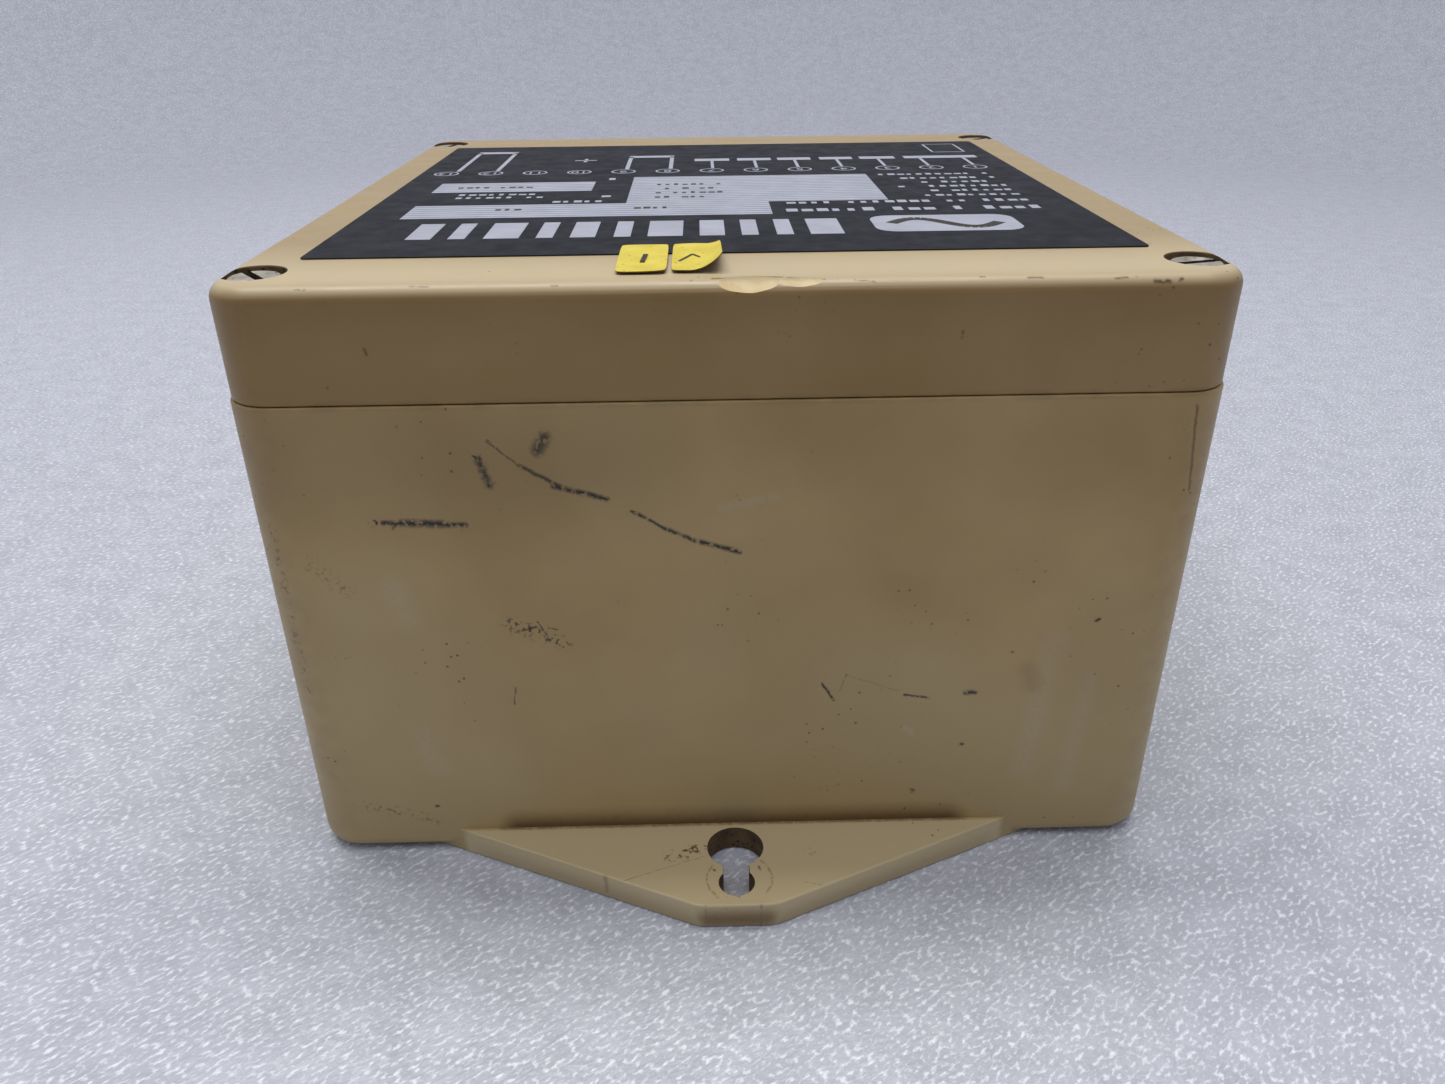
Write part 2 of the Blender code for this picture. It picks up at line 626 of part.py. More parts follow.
def make_gland(name, x):
    """Make one cable gland: body, seal, clamping nut and the locknut inside the box."""
    face = BOX_LENGTH / 2 + FIT_GAP
    inner_face = BOX_LENGTH / 2 - WALL - FIT_GAP
    flange_top = GLAND_FLANGE_THICKNESS
    collar_top = flange_top + GLAND_COLLAR_LENGTH
    seal_floor = collar_top - GLAND_SEAL_LENGTH
    inner_end = -(WALL + GLAND_INNER_REACH)
    body = flat_solid(
        f"gland_body_{name}", [hexagon(GLAND_FLANGE_FLATS)], 0, flange_top, "grey_moulding"
    )
    body.data.transform(body.matrix_world)
    along_y(body, x, face)
    stem = cylinder(
        f"gland_stem_{name}", GLAND_THREAD_RADIUS, inner_end, flange_top / 2 - inner_end, (0, 0)
    )
    collar = cylinder(
        f"gland_collar_{name}", GLAND_COLLAR_RADIUS, flange_top / 2, collar_top - flange_top / 2,
        (0, 0),
    )
    bore_height = THROUGH + collar_top - inner_end
    bore = cylinder(f"gland_bore_{name}", GLAND_BORE_RADIUS, inner_end - MM, bore_height, (0, 0))
    room = cylinder(f"seal_room_{name}", GLAND_SEAL_ROOM_RADIUS, seal_floor, THROUGH, (0, 0))
    for piece, operation in (
        (stem, "UNION"), (collar, "UNION"), (bore, "DIFFERENCE"), (room, "DIFFERENCE")
    ):
        piece.data.transform(piece.matrix_basis)
        along_y(piece, x, face)
        combine(body, piece, operation)
    seal_profile = [
        (GLAND_SEAL_RADIUS, GLAND_SEAL_LENGTH),
        (GLAND_SEAL_RADIUS, 0),
        (GLAND_SEAL_BORE_RADIUS, 0),
        (GLAND_SEAL_BORE_RADIUS, GLAND_SEAL_LENGTH),
    ]
    seal = turned(f"gland_seal_{name}", seal_profile, (0, 0, 0), "black_rubber", ring=True)
    along_y(seal, x, face + seal_floor + FIT_GAP)
    make_gland_nut(name, x, face + flange_top + FIT_GAP)
    locknut_rings = [hexagon(GLAND_FLANGE_FLATS), circle((0, 0), GLAND_THREAD_RADIUS + FIT_GAP)]
    locknut = flat_solid(
        f"gland_locknut_{name}", locknut_rings, 0, LOCKNUT_THICKNESS, "grey_moulding"
    )
    locknut.data.transform(locknut.matrix_world)
    along_y(locknut, x, inner_face - LOCKNUT_THICKNESS)


def make_gland_nut(name, x, y):
    """Make the domed clamping nut: a hexagon joined to a dome, bored for collar and cable."""
    hexagon_length = GLAND_NUT_LENGTH * 0.6
    nut = flat_solid(
        f"gland_nut_{name}", [hexagon(GLAND_NUT_FLATS)], 0, hexagon_length, "grey_moulding"
    )
    nut.data.transform(nut.matrix_world)
    along_y(nut, x, y)
    dome_radius = GLAND_NUT_FLATS / 2 - FIT_GAP
    mouth_radius = GLAND_BORE_RADIUS + MM
    dome_profile = [
        (0, GLAND_NUT_LENGTH),
        (mouth_radius + MM, GLAND_NUT_LENGTH),
        (dome_radius - MM, GLAND_NUT_LENGTH * 0.85),
        (dome_radius, hexagon_length),
        (dome_radius, hexagon_length / 2),
        (0, hexagon_length / 2),
    ]
    dome = turned(f"gland_dome_{name}", dome_profile, (0, 0, 0))
    collar_room = cylinder(
        f"collar_room_{name}", GLAND_COLLAR_RADIUS + FIT_GAP, -THROUGH,
        THROUGH + GLAND_COLLAR_LENGTH + FIT_GAP, (0, 0),
    )
    mouth = cylinder(f"gland_mouth_{name}", mouth_radius, -THROUGH, 3 * THROUGH, (0, 0))
    for piece, operation in (
        (dome, "UNION"), (collar_room, "DIFFERENCE"), (mouth, "DIFFERENCE")
    ):
        piece.data.transform(piece.matrix_basis)
        along_y(piece, x, y)
        combine(nut, piece, operation)


def make_board():
    """Make the circuit board with its four screw holes, and its screws."""
    size = (2 * BOARD_HALF_WIDTH, 2 * BOARD_HALF_LENGTH, BOARD_THICKNESS)
    centre_z = BOARD_BOTTOM + BOARD_THICKNESS / 2
    board = block("main_board", size, (0, 0, centre_z), "circuit_laminate")
    sizes = (
        BOARD_SCREW_RADIUS, BOARD_SCREW_LENGTH, BOARD_SCREW_HEAD_RADIUS, BOARD_SCREW_HEAD_HEIGHT
    )
    for corner, side_x, side_y in CORNERS:
        centre = (side_x * POST_X, side_y * POST_Y)
        hole = cylinder(
            f"board_hole_{corner}", BOARD_SCREW_HOLE_RADIUS, BOARD_BOTTOM - MM, THROUGH, centre,
            steps=SMALL_STEPS,
        )
        combine(board, hole, "DIFFERENCE")
        slotted_screw(
            f"board_screw_{corner}", centre, ON_BOARD, sizes, (0.8 * MM, 0.9 * MM)
        )


def make_terminals():
    """Make the stepped terminal block with its wells and wire entries, and its screws."""
    half_length = (TERMINAL_COUNT * TERMINAL_PITCH) / 2 + TERMINAL_END_WALL
    near = TERMINAL_Y - TERMINAL_DEPTH / 2
    far = TERMINAL_Y + TERMINAL_DEPTH / 2
    top = ON_BOARD + TERMINAL_HEIGHT
    size = (2 * half_length, TERMINAL_DEPTH, TERMINAL_HEIGHT)
    centre = (0, TERMINAL_Y, ON_BOARD + TERMINAL_HEIGHT / 2)
    terminals = block("terminal_block", size, centre, "black_moulding")
    step_size = (4 * half_length, 2 * TERMINAL_STEP_DEPTH, 2 * TERMINAL_STEP_HEIGHT)
    for name, y in (("near", near), ("far", far)):
        step_z = top + TERMINAL_STEP_HEIGHT - (TERMINAL_HEIGHT - TERMINAL_STEP_HEIGHT)
        cutter = block(f"terminal_step_{name}", step_size, (0, y, step_z))
        combine(terminals, cutter, "DIFFERENCE")
    sizes = (
        TERMINAL_SCREW_RADIUS, TERMINAL_SCREW_LENGTH, TERMINAL_HEAD_RADIUS, TERMINAL_HEAD_HEIGHT
    )
    seat = top - TERMINAL_WELL_DEPTH + FIT_GAP
    for index in range(TERMINAL_COUNT):
        x = (index - (TERMINAL_COUNT - 1) / 2) * TERMINAL_PITCH
        number = f"{index + 1:02d}"
        spot = (x, TERMINAL_Y)
        well = cylinder(
            f"terminal_well_{number}", TERMINAL_WELL_RADIUS, top - TERMINAL_WELL_DEPTH, THROUGH,
            spot, steps=SMALL_STEPS,
        )
        combine(terminals, well, "DIFFERENCE")
        shank_bottom = top - TERMINAL_WELL_DEPTH - TERMINAL_SHANK_HOLE_DEPTH
        shank = cylinder(
            f"terminal_shank_hole_{number}", TERMINAL_SHANK_HOLE_RADIUS, shank_bottom, THROUGH,
            spot, steps=SMALL_STEPS,
        )
        combine(terminals, shank, "DIFFERENCE")
        entry_size = (WIRE_ENTRY, TERMINAL_DEPTH, WIRE_ENTRY)
        entry = block(f"wire_entry_{number}", entry_size, (x, far, ON_BOARD + WIRE_ENTRY_Z))
        combine(terminals, entry, "DIFFERENCE")
        slotted_screw(
            f"terminal_screw_{number}", spot, seat, sizes, (0.8 * MM, 0.9 * MM)
        )


def make_transformer(name, centre, leg):
    """Make one transformer: a laminated core with two windows and a coil on its middle leg."""
    width, height, stack = 6 * leg, 5 * leg, 2 * leg
    middle = (centre[0], centre[1], ON_BOARD + height / 2)
    core = block(f"{name}_core", (width, stack, height), middle, "lamination_steel")
    for side in (-1, 1):
        window_centre = (middle[0] + side * 1.5 * leg, middle[1], middle[2])
        window = block(f"{name}_window_{side}", (leg, 2 * stack, 3 * leg), window_centre)
        combine(core, window, "DIFFERENCE")
    coil_size = (4 * leg - 2 * FIT_GAP, 4 * leg, 3 * leg - 2 * FIT_GAP)
    coil = block(f"{name}_coil", coil_size, middle, "winding_tape")
    rounding = coil.modifiers.new("rounding", "BEVEL")
    rounding.width = leg / 6
    rounding.segments = 2
    opening_size = (2 * leg + 2 * FIT_GAP, stack + 2 * FIT_GAP, 4 * leg)
    opening = block(f"{name}_opening", opening_size, middle)
    combine(coil, opening, "DIFFERENCE")


def make_capacitor(name, centre):
    """Make one upright electrolytic capacitor with a rolled groove below its top."""
    radius, height = CAPACITOR_RADIUS, CAPACITOR_HEIGHT
    profile = [
        (0, height),
        (radius - 0.8 * MM, height),
        (radius, height - 0.8 * MM),
        (radius, 3.4 * MM),
        (radius - 0.6 * MM, 2.8 * MM),
        (radius, 2.2 * MM),
        (radius, 0),
        (0, 0),
    ]
    turned(name, profile, (centre[0], centre[1], ON_BOARD), "blue_sleeve")


def make_chip(name, centre):
    """Make one chip body with a half-round mark at its end."""
    location = (centre[0], centre[1], ON_BOARD + CHIP_SIZE[2] / 2)
    chip = block(name, CHIP_SIZE, location, "black_moulding")
    mark_centre = (centre[0] - CHIP_SIZE[0] / 2, centre[1])
    bottom = ON_BOARD + CHIP_SIZE[2] - 0.6 * MM
    mark = cylinder(f"{name}_mark", MM, bottom, THROUGH, mark_centre, steps=SMALL_STEPS)
    combine(chip, mark, "DIFFERENCE")


def make_trimmer(name, centre):
    """Make one trimmer: a square body and the slotted adjuster that turns in its well."""
    size = (TRIMMER_SIDE, TRIMMER_SIDE, TRIMMER_HEIGHT)
    middle = (centre[0], centre[1], ON_BOARD + TRIMMER_HEIGHT / 2)
    body = block(f"{name}_body", size, middle, "blue_sleeve")
    floor = ON_BOARD + TRIMMER_HEIGHT - TRIMMER_WELL_DEPTH
    well = cylinder(f"{name}_well", TRIMMER_WELL_RADIUS, floor, THROUGH, centre)
    combine(body, well, "DIFFERENCE")
    bottom = floor + FIT_GAP
    adjuster = cylinder(
        f"{name}_adjuster", ADJUSTER_RADIUS, bottom, ADJUSTER_HEIGHT, centre, "white_nylon"
    )
    slot_size = (4 * ADJUSTER_RADIUS, MM, 2 * MM)
    slot_centre = (centre[0], centre[1], bottom + ADJUSTER_HEIGHT)
    slot = block(f"{name}_slot", slot_size, slot_centre)
    combine(adjuster, slot, "DIFFERENCE")


def main():
    """Build the whole transducer."""
    clear_scene()
    new_collection(OBJECT_NAME)
    new_collection("cutters")
    make_base()
    make_cover()
    make_gasket()
    make_cover_fixings()
    make_labels()
    for name, side in (("left", -1), ("right", 1)):
        make_gland(name, side * GLAND_X)
    make_board()
    make_terminals()
    for name, centre, leg in TRANSFORMERS:
        make_transformer(name, centre, leg)
    for name, centre in CAPACITORS:
        make_capacitor(name, centre)
    for name, centre in CHIPS:
        make_chip(name, centre)
    for name, centre in TRIMMERS:
        make_trimmer(name, centre)
    bpy.context.view_layer.update()


main()
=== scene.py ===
"""Looks of a wall-mounted power transducer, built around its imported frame.

The box lies on its back with the keyhole lug towards the camera. Every class below is one
sub-assembly. Sizes are in millimetres, in the frame's own axes, and become metres at the end.
"""

import logging
import math
import random
from collections.abc import Sequence
from dataclasses import dataclass, replace
from enum import Enum

import bmesh
import bpy
from mathutils import Matrix, Vector

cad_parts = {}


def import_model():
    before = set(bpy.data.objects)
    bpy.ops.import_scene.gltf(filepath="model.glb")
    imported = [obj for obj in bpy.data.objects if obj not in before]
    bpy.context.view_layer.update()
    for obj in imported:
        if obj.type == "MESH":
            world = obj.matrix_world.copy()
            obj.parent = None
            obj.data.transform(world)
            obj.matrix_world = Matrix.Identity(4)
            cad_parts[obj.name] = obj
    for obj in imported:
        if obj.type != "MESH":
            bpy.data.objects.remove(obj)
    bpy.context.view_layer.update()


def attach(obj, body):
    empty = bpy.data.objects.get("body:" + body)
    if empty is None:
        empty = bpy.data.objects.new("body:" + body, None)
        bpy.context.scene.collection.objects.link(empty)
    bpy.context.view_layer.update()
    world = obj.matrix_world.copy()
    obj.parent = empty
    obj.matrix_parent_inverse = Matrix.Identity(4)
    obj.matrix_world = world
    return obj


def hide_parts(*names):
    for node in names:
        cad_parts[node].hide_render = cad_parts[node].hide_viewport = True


LOG = logging.getLogger("power_transducer")
MM = 0.001
TURN = 2 * math.pi
SHARP_ANGLE = math.radians(32)

Solid = bmesh.types.BMesh
Point = tuple[float, float]
Place = tuple[float, float, float]
Corner = tuple[str, int, int]
Tree = bpy.types.NodeTree
Socket = bpy.types.NodeSocket

CORNERS: tuple[Corner, ...] = (
    ("front_left", -1, -1),
    ("front_right", 1, -1),
    ("rear_left", -1, 1),
    ("rear_right", 1, 1),
)
BOX_WIDTH, BOX_LENGTH = 130.0, 140.0
BASE_TOP, COVER_BOTTOM, BOX_TOP = 73.2, 73.28, 88.2
WALL = 4.5
# Height at which the parts stand on the board
ON_BOARD = 16.2


def corner_spots(half: Point) -> list[tuple[str, Point]]:
    """Return the four places this far from the middle each way, with the corners' names."""
    return [(name, (side_x * half[0], side_y * half[1])) for name, side_x, side_y in CORNERS]


class Carve(Enum):
    """What one solid does to another."""

    AWAY = "DIFFERENCE"
    JOIN = "UNION"


# Materials


def linear(colour: str) -> tuple[float, float, float, float]:
    """Turn an sRGB hex colour into linear light.

    Args:
        colour: Six hex digits after a hash sign.

    Returns:
        Red, green, blue and an alpha of one.
    """
    parts = [int(colour[start : start + 2], 16) / 255 for start in (1, 3, 5)]
    red, green, blue = (
        part / 12.92 if part <= 0.04045 else ((part + 0.055) / 1.055) ** 2.4 for part in parts
    )
    return red, green, blue, 1.0


def per_mm(size: float) -> float:
    """Return the texture scale whose pattern repeats about every size millimetres."""
    return 1 / (size * MM)


def add_node(
    tree: Tree,
    kind: str,
    settings: dict[str, object] | None = None,
    inputs: dict[str | int, object] | None = None,
) -> bpy.types.Node:
    """Add a node with its settings, its input values and its links.

    Args:
        tree: The node tree to add to.
        kind: The node's type name.
        settings: Attribute values by name.
        inputs: Values, sockets or nodes by input name or number; a node links its first output.

    Returns:
        The new node.
    """
    item = tree.nodes.new(kind)
    for key, value in (settings or {}).items():
        setattr(item, key, value)
    for key, value in (inputs or {}).items():
        if isinstance(value, bpy.types.Node):
            value = value.outputs[0]
        if isinstance(value, Socket):
            tree.links.new(value, item.inputs[key])
        else:
            item.inputs[key].default_value = value
    return item


MIX = "ShaderNodeMix"
NOISE = "ShaderNodeTexNoise"
RANGE = "ShaderNodeMapRange"
MATHS = "ShaderNodeMath"
VECTOR = "ShaderNodeVectorMath"
BUMP = "ShaderNodeBump"
VORONOI = "ShaderNodeTexVoronoi"
COLOURS = {"data_type": "RGBA"}
BLEND, LOW, HIGH = 0, 6, 7


def noise(tree: Tree, place: Socket, size: float, detail: float) -> bpy.types.Node:
    """Add noise whose pattern repeats about every size millimetres."""
    return add_node(tree, NOISE, None, {"Vector": place, "Scale": per_mm(size), "Detail": detail})


def ramp(
    tree: Tree, value: object, start: float, end: float, low: float = 0.0, high: object = 1.0
) -> Socket:
    """Carry a value over from one range to another.

    Args:
        tree: The node tree to add to.
        value: The node or socket that gives the value.
        start: The value that becomes low.
        end: The value that becomes high.
        low: The result at start.
        high: The result at end, as a number or a socket.

    Returns:
        The result, kept between low and high.
    """
    limits = {"Value": value, "From Min": start, "From Max": end, "To Min": low, "To Max": high}
    return add_node(tree, RANGE, None, limits).outputs[0]


def blend(tree: Tree, share: Socket, low: object, high: object) -> Socket:
    """Mix two colours, where share is how much of the second shows."""
    return add_node(tree, MIX, COLOURS, {BLEND: share, LOW: low, HIGH: high}).outputs[2]


def maths(tree: Tree, operation: str, first: object, second: object) -> Socket:
    """Combine two values by the named operation."""
    return add_node(tree, MATHS, {"operation": operation}, {0: first, 1: second}).outputs[0]


def vectors(tree: Tree, operation: str, inputs: dict[str | int, object]) -> bpy.types.Node:
    """Combine vectors by the named operation."""
    return add_node(tree, VECTOR, {"operation": operation}, inputs)


def bump(tree: Tree, height: bpy.types.Node, depth: float, strength: float) -> Socket:
    """Return the normal of a relief with the given depth in millimetres."""
    lift = {"Height": height, "Distance": depth * MM, "Strength": strength}
    return add_node(tree, BUMP, None, lift).outputs[0]


@dataclass(frozen=True)
class Finish:
    """A surface with two shades in patches, a fine grain and an uneven sheen.

    Attributes:
        name: What the material is and how its surface was made.
        colour: The main shade.
        shade: The second shade.
        patch: Width of the patches of shade in millimetres.
        grain: Width of the surface grain in millimetres.
        depth: Depth of the grain in millimetres.
        roughness: Middle roughness.
        spread: How far the roughness strays either way.
        metallic: One for bare metal.
        coat: Strength of a clear top layer.
        shine: How strongly a surface that isn't metal reflects; 0.5 is plain plastic.
    """

    name: str
    colour: str
    shade: str
    patch: float = 8.0
    grain: float = 0.5
    depth: float = 0.02
    roughness: float = 0.5
    spread: float = 0.08
    metallic: float = 0.0
    coat: float = 0.0
    shine: float = 0.5

    def make(self) -> bpy.types.Material:
        """Return the material, made on first use."""
        made = bpy.data.materials.get(self.name)
        if made:
            return made
        material = bpy.data.materials.new(self.name)
        material.use_nodes = True
        tree = material.node_tree
        tree.nodes.clear()
        shader = add_node(tree, "ShaderNodeBsdfPrincipled", None, {
            "Metallic": self.metallic,
            "Specular IOR Level": self.shine,
            "Coat Weight": self.coat,
            "Coat Roughness": 0.25,
        })
        add_node(tree, "ShaderNodeOutputMaterial", None, {"Surface": shader})
        place = add_node(tree, "ShaderNodeTexCoord").outputs["Object"]
        tree.links.new(self.tint(tree, place), shader.inputs["Base Color"])
        tree.links.new(self.sheen(tree, place), shader.inputs["Roughness"])
        tree.links.new(self.relief(tree, place), shader.inputs["Normal"])
        return material

    def tint(self, tree: Tree, place: Socket) -> Socket:
        """Return the colour: the two shades, blended in soft patches."""
        share = ramp(tree, noise(tree, place, self.patch, 6.0), 0.35, 0.65)
        return blend(tree, share, linear(self.colour), linear(self.shade))

    def sheen(self, tree: Tree, place: Socket) -> Socket:
        """Return the roughness, uneven as on a handled surface."""
        low, high = self.roughness - self.spread, self.roughness + self.spread
        return ramp(tree, noise(tree, place, self.patch / 3, 4.0), 0.3, 0.7, low, high)

    def relief(self, tree: Tree, place: Socket) -> Socket:
        """Return the normal that the grain gives."""
        return bump(tree, noise(tree, place, self.grain, 3.0), self.depth, 0.6)


@dataclass(frozen=True)
class Rub:
    """A straight mark on a surface, in millimetres.

    Attributes:
        start: Where it starts.
        end: Where it ends.
        width: Half its width.
        weight: How strong it is.
    """

    start: Place
    end: Place
    width: float
    weight: float


@dataclass(frozen=True)
class RubSet:
    """Marks left by the same thing.

    Attributes:
        colour: What the marks leave behind.
        rubs: The marks.
        grit: How far the marks break up into crumbs; well below zero, they stay whole.
    """

    colour: str
    rubs: tuple[Rub, ...]
    grit: float = 0.0


FRONT, COVER_FRONT, LUG_TOP = -70.0, -69.75, 4.0
# Start, end, half width and weight of a rub that lies on one flat face
FlatRub = tuple[float, float, float, float, float, float]


def on_front(*rows: FlatRub) -> list[Rub]:
    """Return rubs on the base's front wall, where a row starts with X, Z, X and Z."""
    return [Rub((a, FRONT, b), (c, FRONT, d), width, weight) for a, b, c, d, width, weight in rows]


def on_lug(*rows: FlatRub) -> list[Rub]:
    """Return rubs on the near lug's top, where a row starts with X, Y, X and Y."""
    return [
        Rub((a, b, LUG_TOP), (c, d, LUG_TOP), width, weight) for a, b, c, d, width, weight in rows
    ]


BLACK_RUBS = RubSet("#14110c", (
    *on_front(
        (-31.3, 68.4, -31.0, 68.1, 0.45, 0.8),
        (-31.3, 68.3, -27.5, 64.9, 0.24, 0.8),
        (-27.5, 64.9, -22.5, 61.9, 0.48, 0.9),
        (-23.3, 61.9, -16.5, 60.0, 0.66, 1.0),
        (-13.3, 58.2, -9.0, 55.4, 0.42, 1.0),
        (-9.0, 55.4, -4.5, 53.3, 0.55, 1.0),
        (-4.5, 53.3, 1.0, 51.7, 0.62, 1.0),
        (-46.2, 57.0, -35.4, 56.5, 0.66, 1.0),
        (-43.8, 57.0, -38.5, 56.7, 0.95, 1.0),
        (-32.7, 65.6, -31.6, 62.2, 0.95, 0.75),
        (-24.0, 68.8, -25.0, 67.0, 1.5, 0.85),
        (-30.4, 39.6, -27.6, 40.4, 0.34, 0.9),
        (-27.2, 41.2, -25.9, 38.6, 0.26, 0.9),
        (-25.8, 40.2, -24.6, 39.9, 0.2, 0.8),
        (-31.4, 30.2, -31.8, 27.4, 0.2, 0.8),
        (12.9, 29.8, 14.6, 26.8, 0.36, 1.0),
        (16.4, 31.4, 15.4, 28.4, 0.16, 0.5),
        (16.4, 31.2, 24.0, 28.2, 0.14, 0.4),
        (25.0, 27.5, 28.6, 26.9, 0.34, 1.0),
        (33.9, 27.7, 35.3, 27.7, 0.6, 1.0),
        (34.2, 18.3, 34.3, 18.3, 0.6, 1.0),
        (27.3, 9.6, 27.4, 9.6, 0.65, 1.0),
        (-45.5, 8.6, -45.3, 8.6, 0.5, 0.9),
        (51.4, 39.5, 51.8, 39.9, 0.45, 1.0),
        (40.0, 34.6, 40.1, 34.6, 0.3, 0.9),
    ),
))
# Brown stains, with painted shade along the foot of the wall
BROWN_STAINS_AND_SHADE = RubSet("#5b4020", (
    Rub((59.6, -69.9, 71.5), (61.0, -69.4, 59.5), 0.4, 0.8),
    *on_front(
        # Painted shade, with some grime: a dark band along the foot of the wall, where it meets the
        # lug
        (-33.0, 3.6, 33.0, 3.6, 4.6, 0.95),
        # Two broad washes darken the upper part of the wall
        (-60.0, 66.0, -15.0, 66.0, 18.0, 0.26),
        (5.0, 72.0, 50.0, 66.0, 14.0, 0.12),
        (42.6, 31.4, 43.6, 29.0, 2.4, 0.22),
    ),
), grit=-0.4)
GRIT = RubSet("#2f2212", (
    *on_front(
        (-33.0, 66.4, -31.6, 62.2, 1.3, 1.0),
        (-31.0, 41.0, -24.0, 37.6, 2.0, 0.9),
        (-47.8, 57.2, -45.0, 56.6, 1.0, 1.0),
        (-57.0, 51.0, -53.0, 47.0, 2.0, 0.4),
        (-56.0, 9.0, -46.0, 6.0, 1.6, 0.5),
    ),
    Rub((-61.5, -69.2, 56.0), (-61.5, -69.2, 30.0), 1.3, 0.5),
), grit=0.13)
PALE_RUBS = RubSet("#b9b3a2", (
    *on_front(
        (-1.5, 58.4, 5.8, 59.8, 1.1, 0.16),
        (25.6, 21.4, 26.6, 20.6, 0.9, 0.25),
        (46.0, 36.0, 44.0, 14.0, 3.2, 0.13),
        (52.0, 30.0, 50.5, 10.0, 2.2, 0.12),
        (-46.5, 47.0, -45.0, 42.0, 3.0, 0.14),
        (-46.0, 22.0, -44.5, 16.0, 3.0, 0.14),
    ),
))
LUG_BLACK_RUBS = RubSet("#14110c", (
    *on_lug(
        (-3.4, -80.0, -3.2, -80.2, 0.3, 0.9),
        (3.3, -79.4, 3.5, -80.3, 0.26, 0.8),
        (-2.5, -83.1, -2.4, -83.3, 0.26, 0.8),
        (9.8, -82.7, 13.7, -84.0, 0.12, 0.6),
    ),
    Rub((13.7, -84.0, LUG_TOP), (14.6, -84.4, 0.0), 0.14, 0.8),
))
LUG_BROWN_RUBS = RubSet("#5b4020", (
    *on_lug(
        (-4.8, -77.2, -17.2, -82.0, 0.14, 0.55),
    ),
    Rub((-4.6, -87.0, LUG_TOP), (-4.6, -87.0, 0.0), 0.3, 0.45),
    Rub((3.3, -87.0, LUG_TOP), (3.3, -87.0, 0.0), 0.3, 0.45),
    Rub((-19.3, -80.9, LUG_TOP), (-19.3, -80.9, 1.0), 0.7, 0.5),
    *on_lug(
        (-36.0, -70.2, 36.0, -70.2, 0.6, 0.55),
    ),
))
# Painted shade: the lug's upright edges are painted browner than its top
LUG_EDGE_PAINTED_SHADE = RubSet("#6b5026", (
    Rub((-4.0, -87.0, 1.2), (4.0, -87.0, 1.2), 3.4, 0.85),
    Rub((-38.0, -70.6, 0.4), (-5.0, -87.0, 0.4), 3.2, 0.35),
    Rub((38.0, -70.6, 0.4), (5.0, -87.0, 0.4), 3.2, 0.35),
), grit=-0.4)
LUG_GRIT = RubSet("#2f2212", (
    *on_lug(
        (-9.6, -77.2, -5.6, -75.6, 1.9, 1.0),
        (-6.6, -75.4, -4.8, -75.2, 0.9, 1.0),
        (10.6, -76.4, 11.6, -77.0, 0.8, 0.7),
    ),
), grit=0.13)
EDGE_NICKS = RubSet("#4f3216", (
    Rub((28.6, COVER_FRONT, 81.6), (28.6, COVER_FRONT, 80.9), 0.34, 0.8),
    Rub((-45.0, COVER_FRONT, 80.6), (-44.8, COVER_FRONT, 80.0), 0.4, 0.8),
    Rub((51.6, -69.3, 87.4), (53.4, -69.3, 87.3), 0.5, 1.0),
    Rub((54.6, -69.3, 87.5), (55.0, -69.1, 87.6), 0.45, 1.0),
    Rub((46.8, -68.9, 87.8), (48.2, -68.9, 87.8), 0.3, 0.8),
    Rub((36.2, -68.6, 87.9), (38.0, -68.7, 87.9), 0.28, 0.8),
    Rub((30.4, -68.4, 88.0), (31.0, -68.4, 88.0), 0.25, 0.7),
    Rub((15.2, -68.6, 87.9), (17.6, -68.8, 87.8), 0.26, 0.7),
    Rub((-21.5, -68.8, 87.8), (-20.9, -68.8, 87.8), 0.3, 0.6),
    Rub((-38.6, -68.6, 87.9), (-36.5, -68.6, 87.9), 0.24, 0.6),
    Rub((-52.4, -68.8, 87.8), (-51.2, -68.8, 87.8), 0.3, 0.8),
    # These two draw a dark line along the upper edge of the broken flake
    Rub((-2.2, -67.9, 88.1), (3.0, -67.1, 88.2), 0.3, 0.8),
    Rub((3.0, -67.1, 88.2), (11.6, -68.4, 88.1), 0.3, 0.8),
    Rub((61.2, -66.4, 86.6), (63.0, -64.4, 86.2), 0.5, 0.6),
))
# Partly grime, partly painted shade: the cover's front is browner towards its upper edge
COVER_GRIME_AND_PAINTED_SHADE = RubSet("#6a4a1e", (
    Rub((-63.0, -74.0, 87.0), (63.0, -74.0, 87.0), 9.0, 0.45),
), grit=-0.4)
# Where a screw head has turned against the plastic round the lug's small end
WASHER_RING = RubSet("#7a6038", tuple(
    Rub((0.4 + 4.8 * math.cos(a), -81.8 + 4.8 * math.sin(a), LUG_TOP),
        (0.4 + 4.8 * math.cos(a + 0.3), -81.8 + 4.8 * math.sin(a + 0.3), LUG_TOP), 0.28, 0.6)
    for a in (2.5, 2.9, 3.3, 3.7, 5.6, 6.0, 6.4, 6.8)
))


